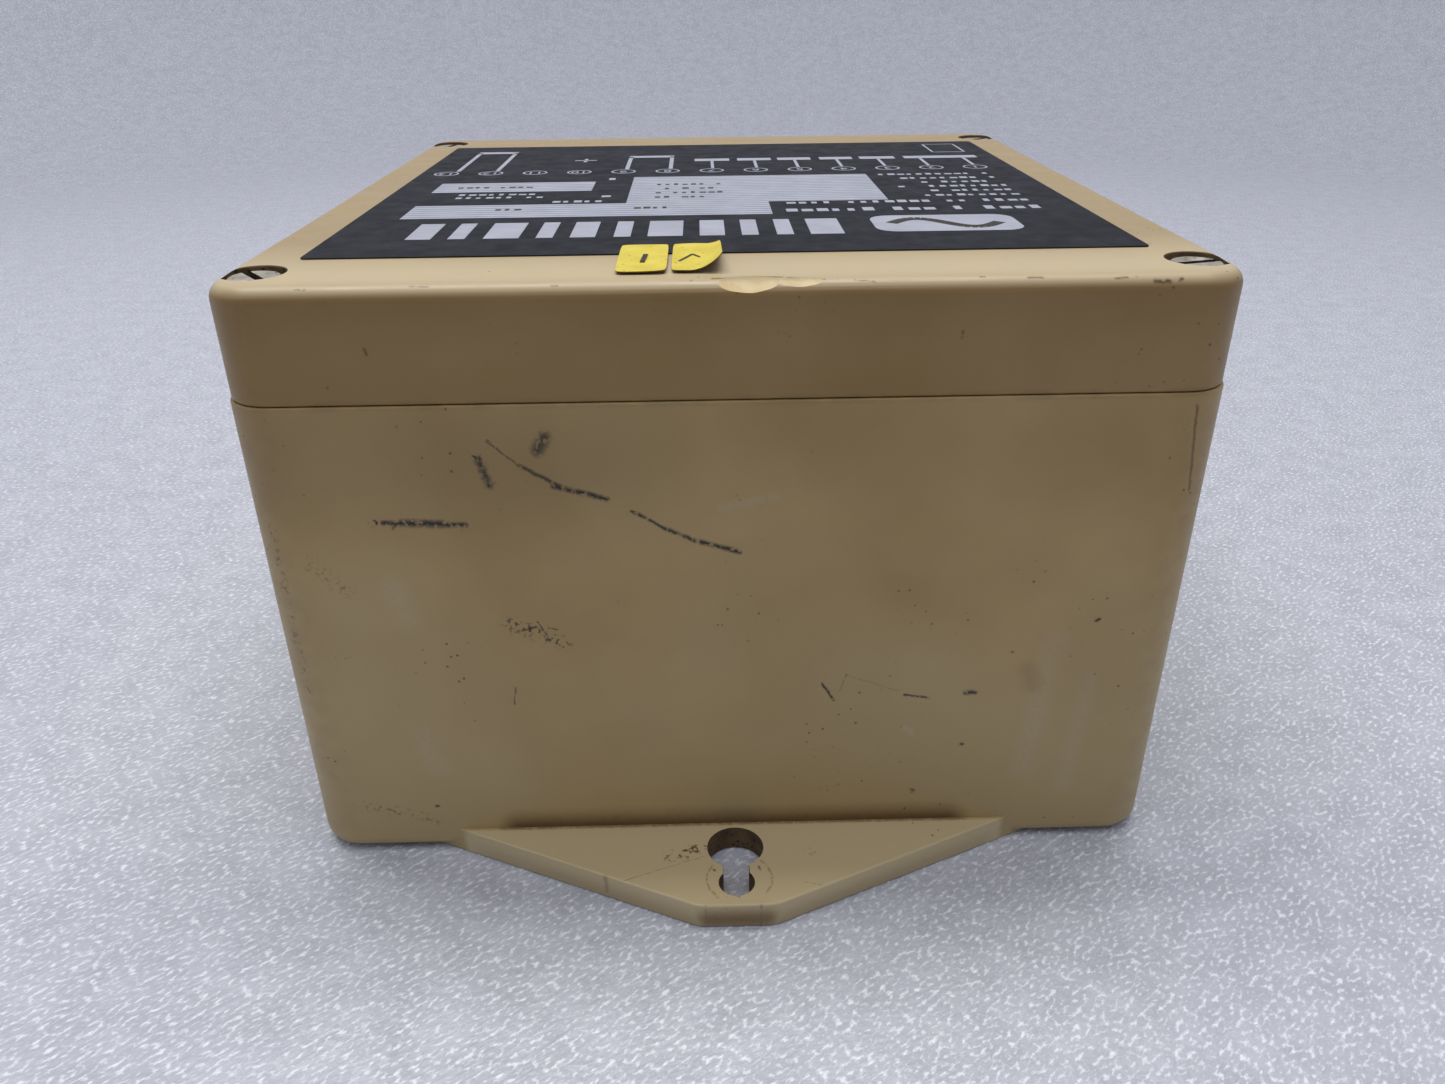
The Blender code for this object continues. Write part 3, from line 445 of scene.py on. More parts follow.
@dataclass(frozen=True)
class AgedMoulding(Finish):
    """Beige plastic, sun-yellowed and handled: a fine moulded grain, hazy patches, grime and dark
    rubs, with painted light and painted shade.

    Attributes:
        grime: Colour of the dirt in the seam and on the upright edges.
        haze_and_painted_light: Colour of the paler wiped patches, also painted low on the walls as
            painted light from the floor.
        painted_light_tone: Colour painted over the front of the upper face and the near lug, as
            painted light where more light falls.
        marks: The rubs and nicks, each set in its own colour.
    """

    grime: str = "#4a3a22"
    haze_and_painted_light: str = "#b09d72"
    painted_light_tone: str = "#c9b791"
    marks: tuple[RubSet, ...] = ()

    def tint(self, tree: Tree, place: Socket) -> Socket:
        """Return the colour: patches, hazy patches, painted light low down and on the front faces,
        specks and grime, then rubs and painted shade.
        """
        colour = super().tint(tree, place)
        parts = add_node(tree, "ShaderNodeSeparateXYZ", None, {"Vector": place})
        cloud = noise(tree, place, 34, 5.0)
        # Painted light over real haze: the haze grows towards the bottom of the walls, for light
        # bounced up from the floor
        lower = ramp(tree, parts.outputs["Z"], 0.062, 0.012, -0.12, 0.36)
        haze_and_painted_light = ramp(tree, maths(tree, "ADD", cloud, lower), 0.52, 0.8, 0.0, 0.5)
        colour = blend(tree, haze_and_painted_light, colour, linear(self.haze_and_painted_light))
        # Painted light: towards the front, the upper face and the lugs, which stand out past the
        # walls, are painted paler
        far_out = self.gap(tree, parts.outputs["Y"], 0.0)
        most = ramp(tree, parts.outputs["Y"], -0.045, -0.062, 0.45)
        for value, start, end in ((parts.outputs["Z"], 0.0868, 0.088), (far_out, 0.0702, 0.0707)):
            pale = ramp(tree, value, start, end, 0.0, most)
            colour = blend(tree, pale, colour, linear(self.painted_light_tone))
        colour = blend(tree, self.dirt(tree, place, parts), colour, linear(self.grime))
        for marks in self.marks:
            colour = blend(tree, self.rubs(tree, place, marks), colour, linear(marks.colour))
        return colour

    def dirt(self, tree: Tree, place: Socket, parts: bpy.types.Node) -> Socket:
        """Return how dirty each place is, from its height and how far out it lies.

        Args:
            tree: The node tree to add to.
            place: Where the surface is.
            parts: The same place, split into X, Y and Z.

        Returns:
            A factor from zero to one.
        """
        across = self.gap(tree, parts.outputs["X"], 0.0)
        outward = maths(tree, "ADD", across, self.gap(tree, parts.outputs["Y"], 0.0))
        seam = self.gap(tree, parts.outputs["Z"], 0.07325)
        broken = ramp(tree, noise(tree, place, 3, 8.0), 0.4, 0.62)
        # Dirt rubbed in towards the upright edges, and packed in the seam
        edges = maths(tree, "MULTIPLY", ramp(tree, outward, 0.1265, 0.1315, 0.0, 0.14), broken)
        packed = maths(tree, "MULTIPLY", ramp(tree, seam, 0.0009, 0.0, 0.0, 0.3), broken)
        # Sparse specks a third of a millimetre wide, more of them towards the sides
        spots = add_node(tree, VORONOI, None, {"Vector": place, "Scale": per_mm(1.7)})
        dot = ramp(tree, spots, 0.14, 0.09, 0.0, 0.8)
        outer = ramp(tree, across, 0.045, 0.062, 0.0, 0.1)
        crowd = maths(tree, "ADD", noise(tree, place, 13, 4.0), outer)
        dotted = maths(tree, "MULTIPLY", dot, ramp(tree, crowd, 0.56, 0.66))
        return maths(tree, "MAXIMUM", maths(tree, "MAXIMUM", edges, packed), dotted)

    @staticmethod
    def gap(tree: Tree, value: Socket, level: float) -> Socket:
        """Return how far a coordinate is from a level, in metres."""
        apart = maths(tree, "SUBTRACT", value, level)
        return add_node(tree, MATHS, {"operation": "ABSOLUTE"}, {0: apart}).outputs[0]

    @staticmethod
    def rubs(tree: Tree, place: Socket, marks: RubSet) -> Socket:
        """Return the strength of a set of marks, broken up as a dragged edge leaves them."""
        shake = noise(tree, place, 1.1, 3.0).outputs["Color"]
        centred = vectors(tree, "SUBTRACT", {0: shake, 1: (0.5, 0.5, 0.5)})
        scaled = vectors(tree, "SCALE", {0: centred, "Scale": 0.0005})
        ragged = vectors(tree, "ADD", {0: place, 1: scaled})
        total: Socket | None = None
        for rub in marks.rubs:
            inputs = {
                "Place": ragged,
                "Start": Vector(rub.start) * MM,
                "End": Vector(rub.end) * MM,
                "Width": rub.width * MM,
                "Weight": rub.weight,
            }
            mark = add_node(tree, "ShaderNodeGroup", {"node_tree": rub_group()}, inputs).outputs[0]
            total = maths(tree, "MAXIMUM", total, mark) if total else mark
        low = 0.4 + marks.grit
        skip = ramp(tree, noise(tree, place, 0.7, 5.0), low, low + 0.08, 0.0 if marks.grit else 0.3)
        return maths(tree, "MULTIPLY", total, skip)


def rub_group() -> Tree:
    """Return the node group that draws one rub, made on first use.

    It measures how far a place is from the line between two points and fades out at the width.
    """
    name = "rub mark"
    made = bpy.data.node_groups.get(name)
    if made:
        return made
    tree = bpy.data.node_groups.new(name, "ShaderNodeTree")
    for socket, kind in (
        ("Place", "NodeSocketVector"),
        ("Start", "NodeSocketVector"),
        ("End", "NodeSocketVector"),
        ("Width", "NodeSocketFloat"),
        ("Weight", "NodeSocketFloat"),
    ):
        tree.interface.new_socket(socket, in_out="INPUT", socket_type=kind)
    tree.interface.new_socket("Mark", in_out="OUTPUT", socket_type="NodeSocketFloat")
    given = add_node(tree, "NodeGroupInput").outputs
    reach = vectors(tree, "SUBTRACT", {0: given["Place"], 1: given["Start"]})
    line = vectors(tree, "SUBTRACT", {0: given["End"], 1: given["Start"]})
    along = vectors(tree, "DOT_PRODUCT", {0: reach, 1: line})
    whole = vectors(tree, "DOT_PRODUCT", {0: line, 1: line})
    share = {0: along.outputs["Value"], 1: whole.outputs["Value"]}
    part = add_node(tree, MATHS, {"operation": "DIVIDE", "use_clamp": True}, share)
    foot = vectors(tree, "SCALE", {0: line, "Scale": part})
    away = vectors(tree, "DISTANCE", {0: reach, 1: foot})
    fade = {
        "Value": away.outputs["Value"],
        "From Min": given["Width"],
        "From Max": 0.0,
        "To Max": given["Weight"],
    }
    mark = add_node(tree, RANGE, {"interpolation_type": "SMOOTHSTEP"}, fade)
    add_node(tree, "NodeGroupOutput", None, {"Mark": mark})
    return tree


@dataclass(frozen=True)
class Striped(Finish):
    """A finish with fine parallel lines, such as stacked steel sheets or brushed metal.

    Attributes:
        lines: Distance between lines in millimetres.
        line_colour: Colour between the sheets.
        along: The axis that the stack follows, X, Y or Z.
    """

    lines: float = 0.5
    line_colour: str = "#2a2522"
    along: str = "Y"

    def tint(self, tree: Tree, place: Socket) -> Socket:
        """Return the patches of shade with a line between each pair of sheets."""
        colour = super().tint(tree, place)
        return blend(tree, self.stripe(tree, place), colour, linear(self.line_colour))

    def stripe(self, tree: Tree, place: Socket) -> Socket:
        """Return one on a line and zero between lines."""
        pattern = {"wave_type": "BANDS", "bands_direction": self.along, "wave_profile": "SIN"}
        # A wave texture repeats 20 / (2 pi) times for each unit of scale
        scale = per_mm(self.lines) * TURN / 20
        wave = add_node(tree, "ShaderNodeTexWave", pattern, {"Vector": place, "Scale": scale})
        return ramp(tree, wave, 0.2, 0.0)


@dataclass(frozen=True)
class Speckled(Finish):
    """A finish with small flecks of a second colour, such as foam cells or rust spots.

    Attributes:
        fleck: Colour of the flecks.
        spacing: Distance between flecks in millimetres.
        size: Share of the spacing that a fleck fills.
    """

    fleck: str = "#5a3a1e"
    spacing: float = 1.5
    size: float = 0.2

    def tint(self, tree: Tree, place: Socket) -> Socket:
        """Return the patches of shade with flecks over them."""
        colour = super().tint(tree, place)
        cells = add_node(tree, VORONOI, None, {"Vector": place, "Scale": per_mm(self.spacing)})
        return blend(tree, ramp(tree, cells, self.size, self.size / 2), colour, linear(self.fleck))


@dataclass(frozen=True)
class FoamSheet(Finish):
    """Extruded foam sheet: cells drawn out in one direction, with bright highlights painted on
    their skins.

    Attributes:
        painted_glint: Colour of the highlights painted on the cells.
        cell: Width of a cell in millimetres.
        draw: How many times longer than wide a cell is.
        heading: The direction that the cells are drawn in, in degrees.
    """

    painted_glint: str = "#eceff7"
    cell: float = 0.65
    draw: float = 1.8
    heading: float = 40.0

    def tint(self, tree: Tree, place: Socket) -> Socket:
        """Return the patches of shade with long bright cells painted over them as highlights."""
        colour = super().tint(tree, place)
        cells = noise(tree, self.drawn_out(tree, place), self.cell, 3.0)
        # Painted highlights: the long cells take the glint colour
        return blend(tree, ramp(tree, cells, 0.52, 0.68), colour, linear(self.painted_glint))

    def relief(self, tree: Tree, place: Socket) -> Socket:
        """Return the normal that the cells give."""
        cells = noise(tree, self.drawn_out(tree, place), self.grain, 2.0)
        return bump(tree, cells, self.depth, 0.7)

    def drawn_out(self, tree: Tree, place: Socket) -> Socket:
        """Return the place, turned and squeezed along the drawing direction."""
        turn = (0.0, 0.0, math.radians(-self.heading))
        turned_place = add_node(
            tree, "ShaderNodeMapping", None, {"Vector": place, "Rotation": turn}
        )
        squeeze = {"Vector": turned_place, "Scale": (1 / self.draw, 1.0, 1.0)}
        return add_node(tree, "ShaderNodeMapping", None, squeeze).outputs[0]


# Polyethylene foam sheet: pale and faintly blue, its cells drawn coarser so that they show
FLOOR_FOAM = FoamSheet(
    "polyethylene foam sheet", "#b6b9c3", "#c2c5cf", 7.0, 0.9, 0.5, 0.42, 0.12,
)
# Moulded ABS gone yellow with age: a fine eggshell grain and a dull satin sheen
BASE_MOULDING = AgedMoulding(
    "aged beige ABS, moulded base", "#ab9160", "#9e8352", 26, 0.5, 0.012, 0.42, 0.07,
    marks=(PALE_RUBS, BROWN_STAINS_AND_SHADE, GRIT, BLACK_RUBS),
)
# The near lug's copy has its own painted light colour, paler still, and the lug's marks
LUG_MOULDING = replace(
    BASE_MOULDING, name="aged beige ABS, moulded lug", painted_light_tone="#c3b18a",
    marks=(LUG_EDGE_PAINTED_SHADE, LUG_BROWN_RUBS, WASHER_RING, LUG_GRIT, LUG_BLACK_RUBS),
)
COVER_MOULDING = AgedMoulding(
    "aged beige ABS, moulded cover", "#937749", "#8a6e3d", 22, 0.5, 0.012, 0.4, 0.07,
    marks=(COVER_GRIME_AND_PAINTED_SHADE, EDGE_NICKS),
)
# Dirt packed in the screw recesses and holes of the same plastic
GRIMY_MOULDING = Speckled(
    "grimy beige ABS, moulded", "#6d5535", "#4f3b22", 2.5, 0.3, 0.03, 0.7, 0.1,
    fleck="#2c2013", spacing=1.1, size=0.3,
)
# A fresh break in the plastic is paler and rougher than the skin
BROKEN_MOULDING = Finish(
    "beige ABS, broken edge", "#d8c49a", "#cdb587", 2.0, 0.6, 0.08, 0.6, 0.08
)
# Anodised label foil, printed charcoal: smooth, with a satin sheen and dust
LABEL_FOIL = Speckled(
    "anodised foil, printed charcoal", "#18191d", "#202126", 9.0, 0.25, 0.006, 0.5, 0.07,
    shine=0.16, fleck="#3c3d44", spacing=2.6, size=0.1,
)
# The unprinted foil that shows as the lettering, faintly brushed
BARE_FOIL = Striped(
    "anodised foil, bare", "#bbbdca", "#aeb0bc", 6.0, 0.3, 0.004, 0.38, 0.06, metallic=0.0,
    lines=0.9, line_colour="#8f919d", along="Y",
)
RULED_FOIL = Striped(
    "anodised foil, bare with ruling", "#b8bbc8", "#abaebb", 5.0, 0.3, 0.004, 0.4, 0.06,
    lines=1.7, line_colour="#5d5f67", along="Y",
)
# Gummed paper gone a little dirty: matt, with a soft tooth
YELLOW_PAPER = Speckled(
    "gummed paper, yellow", "#e0cf55", "#d3bf45", 4.0, 0.35, 0.03, 0.72, 0.06,
    fleck="#a8923a", spacing=1.9, size=0.13,
)
# Painted shade: the paper's back is painted dark brown, for the shade under the curled corner
PAPER_BACK_PAINTED_SHADE = Finish("gummed paper, glue side in painted shade", "#7a5a1c", "#5f4414", 2.5, 0.5, 0.04, 0.6, 0.1)
STAMP_INK = Finish("stamping ink on paper", "#2b2620", "#3b352b", 1.0, 0.3, 0.01, 0.6, 0.08)
# Zinc-plated steel screws, dulled, with grime in the low places
ZINC_STEEL = Speckled(
    "zinc-plated steel, dulled", "#cfcabe", "#b3ac9d", 2.0, 0.25, 0.02, 0.5, 0.1, metallic=1.0,
    fleck="#7d6c50", spacing=1.3, size=0.24,
)
GRIMY_STEEL = Finish(
    "zinc-plated steel, packed with dirt", "#3d3020", "#2a2015", 1.5, 0.3, 0.04, 0.75, 0.1
)
BRASS = Speckled(
    "turned brass, tarnished", "#b08d4a", "#94733a", 2.5, 0.3, 0.01, 0.32, 0.08, metallic=1.0,
    fleck="#6e5529", spacing=1.6, size=0.16,
)
TINNED = Finish("tinned copper, dull", "#b9b8b4", "#a09e99", 1.5, 0.3, 0.02, 0.35, 0.1, 1.0)
COPPER = Finish("copper track under lacquer", "#2f6a3a", "#285c33", 6.0, 0.5, 0.004, 0.35, 0.06)
BLACK_RUBBER = Finish("black rubber, moulded", "#1d1d1c", "#262524", 5.0, 0.4, 0.03, 0.72, 0.08)
WHITE_NYLON = Finish("white nylon, turned", "#d8d3c3", "#cbc4b1", 3.0, 0.4, 0.01, 0.45, 0.06)
GREY_POLYAMIDE = Finish(
    "dark grey polyamide, moulded", "#4c4f52", "#434649", 7.0, 0.45, 0.02, 0.48, 0.07
)
BLACK_PHENOLIC = Speckled(
    "black phenolic, moulded", "#1e1e1f", "#28282a", 6.0, 0.35, 0.015, 0.4, 0.07,
    fleck="#343436", spacing=2.2, size=0.12,
)
WHITE_PRINT = Finish("white screen print", "#c9c8c0", "#bdbbb2", 2.0, 0.3, 0.01, 0.6, 0.05)
# Epoxy glass board under green lacquer, with its weave faintly showing
LAMINATE = Striped(
    "epoxy glass laminate, lacquered", "#1f4f2c", "#245833", 14.0, 0.6, 0.008, 0.34, 0.06,
    coat=0.3, lines=1.0, line_colour="#1b4727", along="X",
)
# Transformer steel: varnished sheets half a millimetre thick, edge on
LAMINATIONS = Striped(
    "varnished transformer steel", "#6a6259", "#7a7064", 5.0, 0.4, 0.02, 0.42, 0.1, metallic=0.7,
    lines=0.5, line_colour="#2a2420", along="Y",
)
WINDING_TAPE = Striped(
    "polyester tape, wound", "#c9a93c", "#bd9c32", 5.0, 0.5, 0.02, 0.38, 0.06, coat=0.3,
    lines=2.4, line_colour="#a5862a", along="Z",
)
BOBBIN = Finish("white nylon bobbin, moulded", "#cfc9b6", "#c2bba6", 4.0, 0.4, 0.02, 0.5, 0.06)
BLUE_SLEEVE = Finish(
    "blue shrink sleeve", "#1f3f78", "#1a376b", 5.0, 0.6, 0.015, 0.32, 0.05, coat=0.4
)
SLEEVE_STRIPE = Finish("pale sleeve stripe", "#b9c3d6", "#adb8cc", 3.0, 0.5, 0.01, 0.35, 0.05)
BARE_ALUMINIUM = Finish("drawn aluminium", "#b5b6b8", "#a3a4a6", 3.0, 0.4, 0.01, 0.36, 0.08, 1.0)
TRIMMER_BLUE = Finish("blue polyester, moulded", "#2a5aa0", "#244f90", 4.0, 0.4, 0.015, 0.42, 0.06)
RESISTOR_TAN = Finish("tan lacquer", "#c8a878", "#bb9a69", 2.0, 0.4, 0.015, 0.4, 0.06, coat=0.4)
BAND_COLOURS = ("#7a3b1c", "#1c1b1a", "#b3261e", "#b8912f")


# Solids, in millimetres


def bevel(solid: Solid, edges: Sequence[bmesh.types.BMEdge], width: float, steps: int) -> None:
    """Round edges of a solid.

    Args:
        solid: The solid to change.
        edges: The edges to round.
        width: The rounding's radius on a square edge.
        steps: How many faces the rounding has.
    """
    bmesh.ops.bevel(
        solid, geom=list(edges), offset=width, offset_type="OFFSET", affect="EDGES",
        segments=steps, profile=0.5, material=-1, clamp_overlap=True,
    )


def level_edges(solid: Solid, height: float) -> list[bmesh.types.BMEdge]:
    """Return the edges that lie flat at a height."""
    return [
        edge for edge in solid.edges
        if all(abs(corner.co.z - height) < 1e-3 for corner in edge.verts)
    ]


def cuboid(size: Place, rim: float = 0.0, steps: int = 2) -> Solid:
    """Return a block centred on the origin.

    Args:
        size: Its size along X, Y and Z.
        rim: Radius of all its edges.
        steps: How many faces a rounded edge has.

    Returns:
        The block.
    """
    solid = bmesh.new()
    bmesh.ops.create_cube(solid, size=1)
    bmesh.ops.scale(solid, vec=size, verts=solid.verts)
    if rim:
        bevel(solid, solid.edges, rim, steps)
    return solid


def slab(
    size: Place, corner: float, top: float = 0.0, bottom: float = 0.0, steps: int = 12
) -> Solid:
    """Return a slab on the XY plane with round upright corners.

    Args:
        size: Its size along X, Y and Z.
        corner: Radius of the upright corners.
        top: Radius of the upper rim.
        bottom: Radius of the lower rim.
        steps: How many faces a corner has.

    Returns:
        The slab.
    """
    solid = cuboid(size)
    height = size[2]
    bmesh.ops.translate(solid, vec=(0, 0, height / 2), verts=solid.verts)
    upright = [
        edge for edge in solid.edges
        if abs(edge.verts[0].co.z - edge.verts[1].co.z) > height / 2
    ]
    bevel(solid, upright, corner, steps)
    for level, radius in ((height, top), (0, bottom)):
        if radius:
            bevel(solid, level_edges(solid, level), radius, max(2, steps // 2))
    return solid


def prism(
    outline: Sequence[Point], height: float, top: float = 0.0, bottom: float = 0.0
) -> Solid:
    """Return an outline given a thickness upwards from the XY plane.

    Args:
        outline: Its corners in order.
        height: Its thickness.
        top: Radius of the upper rim.
        bottom: Radius of the lower rim.

    Returns:
        The prism.
    """
    solid = bmesh.new()
    face = solid.faces.new([solid.verts.new((x, y, 0)) for x, y in outline])
    grown = bmesh.ops.extrude_face_region(solid, geom=[face])
    raised = [part for part in grown["geom"] if isinstance(part, bmesh.types.BMVert)]
    bmesh.ops.translate(solid, vec=(0, 0, height), verts=raised)
    bmesh.ops.recalc_face_normals(solid, faces=solid.faces)
    for level, radius in ((height, top), (0, bottom)):
        if radius:
            bevel(solid, level_edges(solid, level), radius, 3)
    return solid


def turned(profile: Sequence[Point], steps: int = 40, ring: bool = False) -> Solid:
    """Return a profile turned round the Z axis.

    Args:
        profile: Radius and height of each point.
        steps: How many faces go round.
        ring: Whether the last point joins the first.

    Returns:
        The turned solid.
    """
    solid = bmesh.new()
    points = [solid.verts.new((radius, 0, height)) for radius, height in profile]
    pairs = list(zip(points, points[1:]))
    if ring:
        pairs.append((points[-1], points[0]))
    edges = [solid.edges.new(pair) for pair in pairs]
    bmesh.ops.spin(
        solid, geom=points + edges, cent=(0, 0, 0), axis=(0, 0, 1), dvec=(0, 0, 0),
        angle=TURN, steps=steps, use_merge=True,
    )
    bmesh.ops.remove_doubles(solid, verts=solid.verts, dist=1e-4)
    bmesh.ops.recalc_face_normals(solid, faces=solid.faces)
    return solid


def rod(radius: float, height: float, rim: float = 0.0, steps: int = 32) -> Solid:
    """Return an upright cylinder on the XY plane with chamfered rims.

    Args:
        radius: Its radius.
        height: Its height.
        rim: Width of the chamfers.
        steps: How many faces go round.

    Returns:
        The cylinder.
    """
    if not rim:
        return turned([(0, 0), (radius, 0), (radius, height), (0, height)], steps)
    soft = rim * 0.3
    return turned(
        [
            (0, 0), (radius - rim, 0), (radius - soft, soft), (radius, rim),
            (radius, height - rim), (radius - soft, height - soft), (radius - rim, height),
            (0, height),
        ],
        steps,
    )


def wire(points: Sequence[Place], radius: float) -> Solid:
    """Return a round wire through the points, with closed ends."""
    curve = bpy.data.curves.new("wire", "CURVE")
    curve.dimensions = "3D"
    curve.bevel_depth = radius
    curve.bevel_resolution = 2
    curve.use_fill_caps = True
    spline = curve.splines.new("POLY")
    spline.points.add(len(points) - 1)
    for point, place in zip(spline.points, points):
        point.co = (*place, 1)
    return meshed(curve)


def figures(text: str, size: float, depth: float) -> Solid:
    """Return plain figures, centred and lying on the XY plane.

    Args:
        text: The digits.
        size: Their height in millimetres.
        depth: Their thickness.

    Returns:
        The figures as a solid.
    """
    curve = bpy.data.curves.new("figures", "FONT")
    curve.body = text
    curve.size = size * 1.4
    curve.extrude = depth / 2
    curve.align_x = "CENTER"
    curve.align_y = "CENTER"
    curve.resolution_u = 3
    return meshed(curve)


def meshed(curve: bpy.types.Curve) -> Solid:
    """Return a curve or text as a solid, and remove the curve."""
    holder = bpy.data.objects.new("holder", curve)
    bpy.context.scene.collection.objects.link(holder)
    bpy.context.view_layer.update()
    graph = bpy.context.evaluated_depsgraph_get()
    mesh = bpy.data.meshes.new_from_object(holder.evaluated_get(graph))
    bpy.data.objects.remove(holder)
    bpy.data.curves.remove(curve)
    solid = bmesh.new()
    solid.from_mesh(mesh)
    bpy.data.meshes.remove(mesh)
    bmesh.ops.remove_doubles(solid, verts=solid.verts, dist=1e-4)
    return solid


def carve(solid: Solid, tool: Solid, how: Carve = Carve.AWAY, finish: int | None = None) -> Solid:
    """Cut one solid from another, or join them. Both are used up.

    Args:
        solid: The solid to change.
        tool: The solid that cuts it or joins it.
        how: Whether to cut or to join.
        finish: Which of the piece's finishes the cut faces get, if not their own.

    Returns:
        The new solid.
    """
    stand_ins = [
        bpy.data.materials.get(f"carving {index}") or bpy.data.materials.new(f"carving {index}")
        for index in range(3)
    ]
    holders = []
    for part in (solid, tool):
        if part is tool and finish is not None:
            for face in part.faces:
                face.material_index = finish
        mesh = bpy.data.meshes.new("carving")
        part.to_mesh(mesh)
        part.free()
        for stand_in in stand_ins:
            mesh.materials.append(stand_in)
        holder = bpy.data.objects.new("carving", mesh)
        bpy.context.scene.collection.objects.link(holder)
        holders.append(holder)
    cut = holders[0].modifiers.new("carving", "BOOLEAN")
    cut.operation = how.value
    cut.object = holders[1]
    cut.solver = "EXACT"
    bpy.context.view_layer.update()
    result = bmesh.new()
    result.from_object(holders[0], bpy.context.evaluated_depsgraph_get())
    for holder in holders:
        mesh = holder.data
        bpy.data.objects.remove(holder)
        bpy.data.meshes.remove(mesh)
    return result


def tilted(angle: float, axis: str) -> Matrix:
    """Return a turn by degrees about an axis."""
    return Matrix.Rotation(math.radians(angle), 4, axis)


class Piece:
    """One visible piece, joined from solids in millimetres."""

    def __init__(self, name: str, *finishes: Finish) -> None:
        """Start an empty piece.

        Args:
            name: The piece's name.
            finishes: Its finishes; a solid names one by its number.
        """
        self.name = name
        self.finishes = finishes
        self.whole = bmesh.new()

    def add(
        self, solid: Solid, finish: int | None = 0, at: Place = (0, 0, 0),
        turn: Matrix | None = None,
    ) -> None:
        """Join a solid to the piece and use it up.

        Args:
            solid: The solid.
            finish: Its finish's number, or None if its faces have theirs.
            at: Where its origin goes.
            turn: A turn about its origin before that.
        """
        if finish is not None:
            for face in solid.faces:
                face.material_index = finish
        moved(solid, at, turn)
        holder = bpy.data.meshes.new("joining")
        solid.to_mesh(holder)
        solid.free()
        self.whole.from_mesh(holder)
        bpy.data.meshes.remove(holder)

    def fit(self, body: str, slot: str, *nodes: str) -> bpy.types.Object:
        """Finish the piece and fix it to the frame.

        Args:
            body: The body that it rides on.
            slot: The record's material slot; not used.
            nodes: The nodes that it stands for.

        Returns:
            The finished object.
        """
        self.whole.transform(Matrix.Scale(MM, 4))
        mesh = bpy.data.meshes.new(self.name)
        self.whole.to_mesh(mesh)
        self.whole.free()
        for finish in self.finishes:
            mesh.materials.append(finish.make())
        mesh.shade_smooth()
        mesh.set_sharp_from_angle(angle=SHARP_ANGLE)
        item = bpy.data.objects.new(self.name, mesh)
        bpy.context.scene.collection.objects.link(item)
        even = item.modifiers.new("even shading", "WEIGHTED_NORMAL")
        even.keep_sharp = True
        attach(item, body)
        if nodes:
            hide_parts(*nodes)
        LOG.info("%s: %d faces on %s", self.name, len(mesh.polygons), body)
        return item


# Outlines, in millimetres


def arc(centre: Point, radius: float, start: float, end: float, steps: int) -> list[Point]:
    """Return points on an arc, both ends included.

    Args:
        centre: The arc's centre.
        radius: Its radius.
        start: Its first angle in degrees.
        end: Its last angle in degrees.
        steps: How many chords it has.

    Returns:
        The points.
    """
    points = []
    for step in range(steps + 1):
        angle = math.radians(start + (end - start) * step / steps)
        x = centre[0] + radius * math.cos(angle)
        points.append((x, centre[1] + radius * math.sin(angle)))
    return points


def rectangle(low: Point, high: Point) -> list[Point]:
    """Return the corners of an upright rectangle."""
    return [low, (high[0], low[1]), high, (low[0], high[1])]


def hexagon(flats: float) -> list[Point]:
    """Return a hexagon with the given width across its flats."""
    return arc((0, 0), flats / math.sqrt(3), 0, 300, 5)


def rim_outline(outward: float) -> list[Point]:
    """Return the inner rim of the box, moved outward, with a notch at each corner pillar."""
    half_x, half_y = BOX_WIDTH / 2 - WALL + outward, BOX_LENGTH / 2 - WALL + outward
    notch_x, notch_y = 52 + outward, 53.2 + outward
    outer, inner = 2 + outward, 4.5 - outward
    quarter = arc((half_x - outer, notch_y - outer), outer, 0, 90, 6)
    quarter += arc((notch_x + inner, notch_y + inner), inner, -90, -180, 7)
    quarter += arc((notch_x - outer, half_y - outer), outer, 0, 90, 6)
    upper = quarter + [(-x, y) for x, y in reversed(quarter)]
    return upper + [(-x, -y) for x, y in upper]


def rim_ring(outer: float, inner: float, height: float) -> Solid:
    """Return a ring that follows the inner rim.

    Args:
        outer: How far outward its outer side lies.
        inner: How far outward its inner side lies.
        height: Its height.

    Returns:
        The ring.
    """
    hole = prism(rim_outline(inner), height + 2)
    return carve(prism(rim_outline(outer), height), moved(hole, (0, 0, -1)))


def inner_space(bottom: float, top: float) -> Solid:
    """Return the space inside the walls between two heights, less the corner pillars."""
    height = top - bottom
    wide = slab((BOX_WIDTH - 2 * WALL, 106.4, height), 2, steps=6)
    long = slab((104, BOX_LENGTH - 2 * WALL, height), 2, steps=6)
    return moved(carve(wide, long, Carve.JOIN), (0, 0, bottom))


def moved(solid: Solid, at: Place, turn: Matrix | None = None) -> Solid:
    """Return a solid after a turn about its origin and a move."""
    solid.transform(Matrix.Translation(at) @ (turn or Matrix()))
    return solid


# Sub-assemblies


